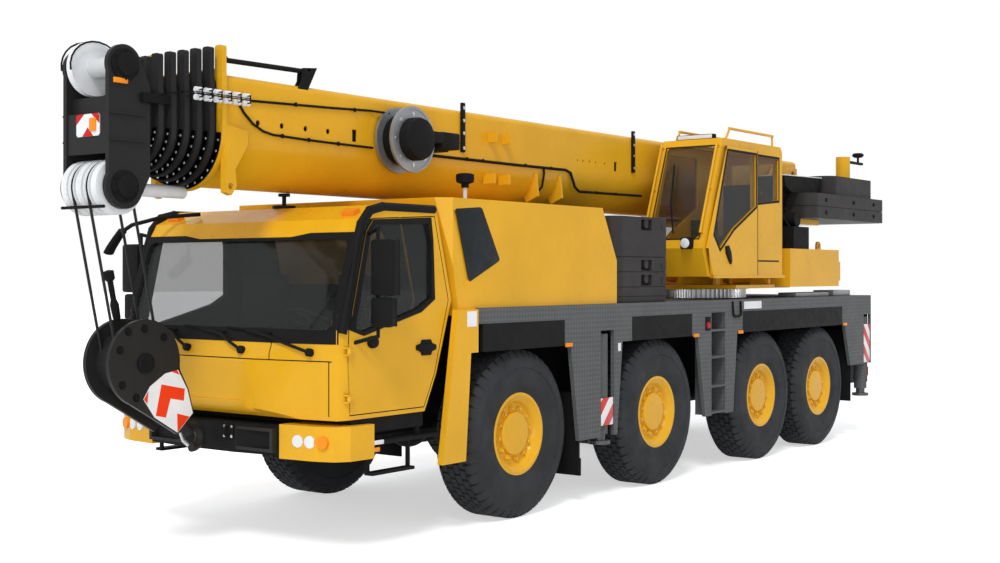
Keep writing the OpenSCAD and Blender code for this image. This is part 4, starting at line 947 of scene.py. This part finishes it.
BOARDS = {"left": (-1.375, -7.915), "right": (-1.125, -7.675)}
BOARD_Z = (0.705, 0.970), (0.975, 1.490)
MARKERS = (-0.700, -3.135, -4.171, -7.150)
PLATES = [(-4.486, 1.812, 0.440, 0.085), (0.750, 1.790, 0.125, 0.130), (-1.591, 1.453, 0.050, 0.080)]
FLAP_Y = (0.905, 1.335)


def dress_deck():
    for side, sign in SIDES:
        for i, (x, z, finish) in enumerate(zip(BOARDS[side], BOARD_Z, STRIPES), 1):
            board = Shape().block(about(x, 0.108), (1.3455, 1.3565), z, 0.003)
            put("warning_board_%d_%s" % (i, side), board, finish, "beam_%d_%s" % (i, side), sign < 0)
        amber, plates, loops = Shape(), Shape(), Shape()
        for x in MARKERS:
            amber.block(about(x, 0.055), (SIDE_Y - 0.001, SIDE_Y + 0.014), (1.492, 1.530), 0.005)
        for x, z, w, h in PLATES:
            plates.block(about(x, w / 2), (SIDE_Y + 0.0003, SIDE_Y + 0.003), about(z, h / 2))
        near, far = SIDE_Y + 0.006, SIDE_Y + 0.016
        loops.sweep([(-3.975, near, 1.862), (-3.975, far, 1.730), (-3.990, far, 1.700), (-4.020, far, 1.690),
                     (-4.120, far, 1.690), (-4.150, far, 1.700), (-4.165, far, 1.730), (-4.165, near, 1.862)],
                    0.013, 8)
        loops.block((-3.465, -3.345), (SIDE_Y - 0.001, SIDE_Y + 0.004), (1.552, 1.702), 0.003)
        loops.block((-0.952, -0.924), FLAP_Y, (0.265, 0.430), 0.004)
        loops.block((-7.412, -7.388), FLAP_Y, (0.484, 1.430), 0.004)
        lamp = Shape().turned([(0.0, 0.0), (0.034, 0.0), (0.034, 0.010), (0.022, 0.018), (0.0, 0.020)],
                              (-3.405, SIDE_Y + 0.003, 1.610), ACROSS, 20)
        put("side_lamp_" + side, lamp, RED, "carrier", sign < 0)
        put("side_markers_" + side, amber, AMBER, "carrier", sign < 0)
        put("blank_plates_" + side, plates, NYLON, "carrier", sign < 0)
        put("deck_fittings_" + side, loops, UNDER, "carrier", sign < 0)
    sheets = Shape()
    sheets.block((-6.95, -5.95), (0.980, 1.230), (DECK_Z, DECK_Z + 0.055), 0.008)
    sheets.block((-7.60, -7.05), (0.960, 1.250), (DECK_Z, DECK_Z + 0.075), 0.008)
    put("deck_boxes", sheets, GALVANISED, "carrier")


dress_hood()
dress_deck()


# Turntable and crane cab

def dress_crane_cab():
    surround = Shape()
    gasket = 0.014
    skin = (CRANE_OUT - 0.001, CRANE_OUT + 0.0008)
    lo, hi = CRANE_SCREEN_Y
    low, high = CRANE_SCREEN_Z
    front_sheet(surround, (lo - gasket, hi + gasket), level(low - gasket), level(low), crane_front_x)
    front_sheet(surround, (lo - gasket, hi + gasket), level(high), level(high + gasket), crane_front_x)
    for y in ((lo - gasket, lo), (hi, hi + gasket)):
        front_sheet(surround, y, level(low), level(high), crane_front_x, rows=6)
    surround.ring(inset(CRANE_REAR_WINDOW, -0.028), CRANE_REAR_WINDOW, "xz", *skin)
    surround.block((-5.26, -4.66), skin, (2.312, 2.330))
    put("crane_cab_trim", surround, BLACK, "crane_cab")
    trim = Shape().ring(inset(CRANE_WINDOW, -0.028), CRANE_WINDOW, "xz", CRANE_DOOR_OUT - 0.001,
                        CRANE_DOOR_OUT + 0.003)
    trim.prism([(-3.800, 2.475), (-3.868, 2.488), (-3.925, 2.410), (-3.945, 2.310), (-3.920, 2.275),
                (-3.870, 2.325), (-3.815, 2.400)], "xz", CRANE_DOOR_OUT - 0.002, CRANE_DOOR_OUT + 0.022,
               0.006)
    trim.block((-4.619, -4.607), (CRANE_DOOR_OUT - 0.001, CRANE_DOOR_OUT + 0.0012), (2.162, 3.592))
    put("crane_door_trim", trim, BLACK, "crane_door")
    mid = (CRANE_DOOR_IN + 0.012, CRANE_DOOR_IN + 0.020)
    recolour("crane_cab_door", lambda x, y, z, n: min(abs(y - mid[0]), abs(y - mid[1])) < 0.001, GLASS)
    bar = Shape().block((-3.965, -3.895), (0.690, 1.170), (3.692, 3.752), 0.010)
    put("roof_light_body", bar, UNDER, "crane_cab")
    lens = Shape().block((-3.896, -3.887), (0.710, 1.150), (3.702, 3.744), 0.003)
    put("roof_light_lens", lens, CLEAR, "crane_cab")
    x = crane_front_x(0, 2.49)
    lamp = Shape().block((x - 0.01, x + 0.085), (1.080, 1.210), (2.440, 2.570), 0.020)
    put("work_lamp", lamp, UNDER, "crane_cab")
    glow = Shape().turned([(0.0, 0.0), (0.054, 0.0), (0.054, 0.008), (0.040, 0.016), (0.0, 0.018)],
                          (x + 0.083, 1.145, 2.505), AHEAD, 24)
    put("work_lamp_lens", glow, CLEAR, "crane_cab")
    spots = ((0.94, 2.62, 0.030), (0.84, 2.95, 0.032), (0.78, 3.40, 0.022))
    run = [off_face(crane_front_x, *spot) for spot in spots]
    wiper = Shape().sweep(run, 0.010, 8)
    put("crane_wiper", wiper, BLACK, "crane_cab")


HOSE_Z = (2.470, 3.215)
HOSES = [(-5.780, 1.05, -5.960, 0.95), (-5.800, 0.98, -5.990, 0.86), (-5.830, 1.12, -6.030, 1.02),
         (-5.860, 0.90, -6.080, 0.80), (-5.900, 1.06, -6.150, 0.92), (-5.940, 1.14, -6.200, 1.05),
         (-5.800, 0.86, -6.060, 0.74)]


def dress_turntable():
    hoses = Shape()
    for k, (x0, y0, x1, y1) in enumerate(HOSES):
        bulge = 0.05 + 0.02 * (k % 3)
        run = []
        for i in range(13):
            t = i / 12
            x = x0 + (x1 - x0) * t - 0.4 * bulge * math.sin(math.pi * t)
            y = y0 + (y1 - y0) * t + bulge * math.sin(2 * math.pi * t)
            run.append((x, y, HOSE_Z[0] + (HOSE_Z[1] - HOSE_Z[0]) * t))
        hoses.sweep(run, 0.015 + 0.004 * (k % 2), 10)
    put("tail_hoses", hoses, UNDER, "turntable")
    edge = Shape().prism([(-7.003, 3.4205), (-5.877, 3.4005), (-5.877, 3.411), (-7.003, 3.431)], "xz", 0.692,
                         1.108)
    put("trough_edge", edge, NYLON, "turntable")
    arm = Shape().block((-8.620, -7.960), (0.978, 1.022), (3.700, 3.735), 0.006)
    arm.sweep([(-8.480, 1.0, 3.735), (-8.480, 1.0, 3.800)], 0.016, 10)
    arm.turned([(0.0, 0.0), (0.050, 0.0), (0.078, 0.020), (0.080, 0.045), (0.055, 0.062), (0.0, 0.066)],
               (-8.480, 1.0, 3.800), UP, 28)
    put("tail_aerial", arm, UNDER, "turntable")
    heads = []
    for z in (2.96, 3.12):
        heads += [((-8.7505, y, z), (-1, 0, 0)) for y in (-1.0, -0.7, 0.7, 1.0)]
        heads += [((x, s * 1.3005, z), (0, s, 0)) for x in (-8.3, -7.6, -6.7) for s in (-1, 1)]
    bolts("weight_bolts", heads, 0.020, 0.014, UNDER, "turntable")


dress_crane_cab()
dress_turntable()


# Boom

def belly_arc(radius, angles):
    """Points across and up on an arc about the middle of the boom's round belly, at angles in degrees."""
    return [(radius * math.cos(math.radians(a)), BELLY_Z + radius * math.sin(math.radians(a)))
            for a in angles]


def dress_collar(n, body):
    """Wear pads with their bolts on the front face of collar n, and its pair of cable rollers."""
    front = COLLAR_X + COLLAR_STEP * (n - 1) + COLLAR_L
    outer = BOOM_HALF + 0.036 - SECTION_STEP * (n - 1)
    inner = BOOM_HALF - 0.0315 - SECTION_STEP * (n - 1)
    pads, points = Shape(), []
    for first in (182, 272):
        angles = [first + 86 * k / 14 for k in range(15)]
        pads.ring(belly_arc(outer - 0.010, angles) + belly_arc(outer - 0.014, angles[::-1]),
                  belly_arc(inner + 0.012, angles) + belly_arc(inner + 0.010, angles[::-1]), "yz",
                  front - 0.001, front + 0.012)
        spots = belly_arc((inner + outer) / 2, range(first + 6, first + 84, 12))
        points += [((front + 0.012, y, z), AHEAD) for y, z in spots]
    put("wear_pads_%d" % n, pads, UNDER, body)
    bolts("pad_bolts_%d" % n, points, 0.009, 0.006, STEEL, body)
    reach = front - COLLAR_L / 2
    x = reach - 2 * COLLAR_STEP + 0.016
    y = BOOM_HALF + 0.085
    rollers, arm = Shape(), Shape()
    for z in about(GUIDE_Z, GUIDE_GAP):
        rollers.turned([(0.0, -0.027), (0.023, -0.027), (0.023, -0.010), (0.014, -0.006), (0.014, 0.006),
                        (0.023, 0.010), (0.023, 0.027), (0.0, 0.027)], (x, y, z), AHEAD, 20)
        arm.sweep([(x, y + 0.010, z), (x, y + 0.046, z)], 0.005, 8)
    arm.block(about(x, 0.005), (y + 0.045, y + 0.050), about(GUIDE_Z, GUIDE_GAP + 0.006))
    thick = about(GUIDE_Z + (0.007 if n % 2 else -0.007), 0.003)
    arm.block(about(reach, 0.004), (outer - 0.015, y + 0.038), thick)
    arm.block((x, reach + 0.004), (y + 0.032, y + 0.038), thick)
    arm.block(about(x, 0.006), (y + 0.032, y + 0.050), thick)
    put("cable_rollers_%d" % n, rollers, NYLON, body)
    put("roller_arm_%d" % n, arm, UNDER, body)


CABLE_CLIPS = [(2.05, 3.283), (1.75, 3.275), (1.40, 3.271), (-0.35, 3.260), (-0.60, 3.260), (-1.30, 3.260),
               (-1.75, 3.260), (-2.60, 3.048), (-3.00, 3.051), (1.90, 3.552), (1.20, 3.576)]
STRAPS = [(-0.294, 3.320, 3.790), (-3.377, 3.310, 3.780)]
STRAP_BOLT_Z = (3.36, 3.50, 3.62, 3.74)
STAY_Y = 0.375
STAY_FOOT = [(1.880, 3.640), (1.760, 3.640), (1.625, 3.886), (1.790, 3.868), (1.800, 3.760)]


def dress_boom():
    y = BOOM_HALF + 0.012
    cables = Shape()
    cables.sweep([(2.50, y, 3.528), (2.38, y, 3.535), (1.48, y, 3.567), (1.00, y, 3.590),
                  (0.78, y + 0.03, 3.585)], 0.010, 8)
    cables.sweep([(2.50, y, 3.490), (2.45, y, 3.430), (2.36, y, 3.355), (2.25, y, 3.305), (2.146, y, 3.286),
                  (1.80, y, 3.276), (1.483, y, 3.272), (0.962, y, 3.269)], 0.010, 8)
    cables.sweep([(0.20, y, 3.259), (-1.20, y, 3.256), (-2.03, y, 3.260), (-2.12, y, 3.235),
                  (-2.20, y, 3.090), (-2.28, y, 3.045), (-3.55, y, 3.056)], 0.014, 8)
    cables.sweep([(-1.630, y, 3.256), (-1.635, y, 3.200), (-1.610, y - 0.010, 3.060),
                  (-1.580, y - 0.075, 2.990)], 0.012, 8)
    put("boom_cables", cables, UNDER, "boom")
    clips = [((x, y + 0.010, z), ACROSS) for x, z in CABLE_CLIPS]
    bolts("cable_clips", clips, 0.013, 0.008, UNDER, "boom")
    straps = Shape()
    for x, lo, hi in STRAPS:
        straps.block(about(x, 0.026), (BOOM_HALF - 0.002, BOOM_HALF + 0.030), (lo, hi), 0.010)
    put("boom_straps", straps, BLACK, "boom")
    heads = [((x, BOOM_HALF + 0.030, z), ACROSS) for x, _, _ in STRAPS for z in STRAP_BOLT_Z]
    bolts("strap_bolts", heads, 0.011, 0.008, STEEL, "boom")
    y0, y1 = about(STAY_Y, 0.032)
    stay = Shape().sweep([(2.640, STAY_Y, 3.832), (1.780, STAY_Y, 3.846)], 0.021, 12)
    for y in (y0, y1 - 0.012):
        stay.prism(STAY_FOOT, "xz", y, y + 0.012)
    stay.turned([(0.0, -0.034), (0.030, -0.034), (0.030, 0.034), (0.0, 0.034)], (2.628, STAY_Y, 3.832),
                ACROSS, 16)
    stay.sweep([(1.720, y0, 3.862), (1.720, y1, 3.862)], 0.014, 10)
    put("boom_stay", stay, BLACK, "boom")


def dress_reel():
    x, z = REEL_X, REEL_Z
    y0 = BOOM_HALF
    spool = Shape().turned([(0.112, 0.047), (0.215, 0.047), (0.222, 0.070), (0.222, 0.180), (0.215, 0.199),
                            (0.112, 0.199)], (x, y0, z), ACROSS, 64)
    put("reel_cable", spool, UNDER, "boom")
    rims = Shape()
    for y in (0.030, 0.200):
        rims.turned([(0.268, y - 0.004), (0.2915, y - 0.004), (0.2915, y + 0.020), (0.268, y + 0.020),
                     (0.268, y - 0.004)], (x, y0, z), ACROSS, 72)
    put("reel_rims", rims, GALVANISED, "boom")
    motor = Shape().turned([(0.0, 0.217), (0.190, 0.217), (0.190, 0.290), (0.178, 0.318), (0.120, 0.334),
                            (0.0, 0.336)], (x, y0, z), ACROSS, 48)
    motor.block((x - 0.330, x - 0.150), (y0 + 0.222, y0 + 0.305), (z - 0.020, z + 0.085), 0.016)
    motor.block((x - 0.560, x - 0.300), (y0 + 0.150, y0 + 0.300), (z - 0.060, z + 0.090), 0.014)
    motor.block((x - 0.520, x - 0.340), (y0 - 0.004, y0 + 0.200), (z - 0.075, z - 0.030), 0.010)
    put("reel_motor", motor, BLACK, "boom")
    heads = [((x + 0.225 * math.cos(a), y0 + 0.217, z + 0.225 * math.sin(a)), ACROSS)
             for a in round_angles(8)]
    bolts("reel_bolts", heads, 0.012, 0.008, STEEL, "boom")


def dress_head():
    body = "boom_7"
    caps, heads = Shape(), []
    for z in (PIN_TOP, PIN_LOW):
        for sign in (-1, 1):
            caps.turned([(0.0, 0.0), (0.118, 0.0), (0.118, 0.014), (0.088, 0.018), (0.084, 0.044),
                         (0.066, 0.052), (0.0, 0.054)], (PIN_X, sign * HEAD_FACE, z), (0, sign, 0), 40)
            for k in range(6):
                a = math.pi * (k + 0.5) / 3
                spot = (PIN_X + 0.103 * math.cos(a), sign * (HEAD_FACE + 0.015), z + 0.103 * math.sin(a))
                heads.append((spot, (0, sign, 0)))
    put("pin_caps", caps, BLACK, body)
    bolts("pin_cap_bolts", heads, 0.008, 0.006, UNDER, body)
    amber = Shape().block((3.450, 3.575), (HEAD_FACE, HEAD_FACE + 0.016), (3.560, 3.600), 0.005)
    amber.block(about(HEAD_FRONT, 0.010), (0.052, 0.122), (3.215, 3.312), 0.004)
    put("head_markers", amber, AMBER, body)
    y0, y1, z0, z1 = -0.117, 0.158, 3.180, 3.344
    cut = 0.016
    board = Shape().prism([(y0 + cut, z0), (y1 - cut, z0), (y1, z0 + cut), (y1, z1 - cut), (y1 - cut, z1),
                           (y0 + cut, z1), (y0, z1 - cut), (y0, z0 + cut)], "yz", HEAD_FRONT - 0.011,
                          HEAD_FRONT - 0.004)
    put("head_board", board, NYLON, body)
    marks = Shape()
    middle, half = 0.02, 0.065
    for tri in ([(y0 + cut, z1), (y0, z1 - cut), (y0, z1 - 0.075), (y0 + 0.095, z1)],
                [(y1 - cut, z1), (y1 - 0.095, z1), (y1, z1 - 0.075), (y1, z1 - cut)],
                [(middle - half, z0), (middle + half, z0), (middle, z0 + half)]):
        marks.prism(tri, "yz", HEAD_FRONT - 0.005, HEAD_FRONT - 0.002)
    put("head_board_marks", marks, RED, body)
    guard = Shape()
    for y in (-0.165, -0.055):
        arc = []
        for k in range(13):
            a = math.radians(-10 + 15 * k)
            arc.append((PIN_X + 0.232 * math.cos(a), y, PIN_TOP + 0.200 * math.sin(a)))
        guard.sweep(arc, 0.007, 8)
    x, z = PIN_X + 0.165, PIN_LOW - 0.150
    guard.sweep([(x, -0.25, z), (x, 0.25, z)], 0.012, 10)
    put("rope_guards", guard, UNDER, body)
    hub = Shape().turned([(0.048, -0.078), (0.075, -0.078), (0.075, 0.235), (0.048, 0.235), (0.048, -0.078)],
                         (PIN_X, 0, PIN_TOP), ACROSS, 32)
    put("sheave_spacer", hub, ALUMINIUM, body)
    # Pale tube under the head collars, standing in for the light streak along the undersides of the boom
    # sections: a painted reflection.
    reflection_tube = Shape().turned([(0.0, 0.0), (0.046, 0.0), (0.050, 0.006), (0.050, 0.560), (0.046, 0.566),
                           (0.0, 0.566)], (2.700, 0.0, 2.812), AHEAD, 32)
    put("head_tube", reflection_tube, NYLON, body)
    bar = Shape().block((3.060, 3.330), (HEAD_FACE - 0.002, HEAD_FACE + 0.038), (3.440, 3.512), 0.006)
    put("head_bar", bar, UNDER, body)


FALL, TILT, BLOCK_FACE = math.radians(12), math.radians(31), 0.155
ROPE_L = 1.340
HANG = Matrix.Translation((PIN_X, 0, PIN_LOW)) @ Matrix.Rotation(FALL, 4, "Y")
BLOCK_FRAME = HANG @ Matrix.Translation((0, 0, -ROPE_L)) @ Matrix.Rotation(TILT, 4, "Y")
WHITE_MARK = [(0.199, -0.187), (0.091, -0.160), (-0.075, -0.192), (-0.180, -0.262), (-0.140, -0.440),
              (-0.052, -0.612), (0.152, -0.612), (0.222, -0.362)]
RED_MARKS = [
    [(0.006, -0.226), (-0.126, -0.415), (-0.056, -0.475), (0.020, -0.368), (0.150, -0.442), (0.205, -0.361)],
    [(0.055, -0.500), (-0.010, -0.608), (0.150, -0.608)],
    [(-0.123, -0.218), (-0.172, -0.258), (-0.166, -0.300)],
    [(0.197, -0.190), (0.129, -0.176), (0.197, -0.237)],
]
HOOK_BOLTS = [(0.094, 0.235), (0.258, 0.031), (-0.172, 0.195), (-0.050, 0.283), (-0.255, 0.020),
              (0.235, -0.130)]


def lay(name, shape, finish):
    """A piece drawn in the hook block's own frame."""
    piece(name, shape.mesh(name, SHIFT @ BLOCK_FRAME), finish, "hook")


def dress_hook():
    white, red, rims = Shape(), Shape(), Shape()
    for sign in (-1, 1):
        white.prism(WHITE_MARK, "xz", *across(sign, BLOCK_FACE, BLOCK_FACE + 0.002))
        for mark in RED_MARKS:
            red.prism(mark, "xz", *across(sign, BLOCK_FACE + 0.001, BLOCK_FACE + 0.0035))
        rims.turned([(0.0, 0.0), (0.075, 0.0), (0.075, 0.016), (0.062, 0.026), (0.0, 0.028)],
                    (0, sign * BLOCK_FACE, 0), (0, sign, 0), 28)
    lay("hook_block_white", white, NYLON)
    lay("hook_block_red", red, SIGNAL)
    lay("hook_block_cap", rims, UNDER)
    heads = []
    for sign in (-1, 1):
        heads += [(BLOCK_FRAME @ Vector((x, sign * BLOCK_FACE, z)), (0, sign, 0)) for x, z in HOOK_BOLTS]
    bolts("hook_bolts", heads, 0.022, 0.014, UNDER, "hook")
    anchor = Shape().turned([(0.0, 0.0), (0.022, 0.0), (0.030, 0.020), (0.034, 0.120), (0.022, 0.160),
                             (0.022, 0.300), (0.040, 0.320), (0.040, 0.380), (0.0, 0.390)],
                            (3.262, -0.088, 1.820), (0.22, 0, 1), 20)
    put("rope_socket", anchor, UNDER, "hook")
    latch = Shape().sweep([(0.05, 0.0, -0.735), (0.075, 0.0, -0.800), (0.066, 0.0, -0.868)], 0.010, 8, 2.0)
    lay("hook_latch", latch, STEEL)


for n in range(1, 7):
    dress_collar(n, "boom" if n == 1 else "boom_%d" % n)
dress_boom()
dress_reel()
dress_head()
dress_hook()
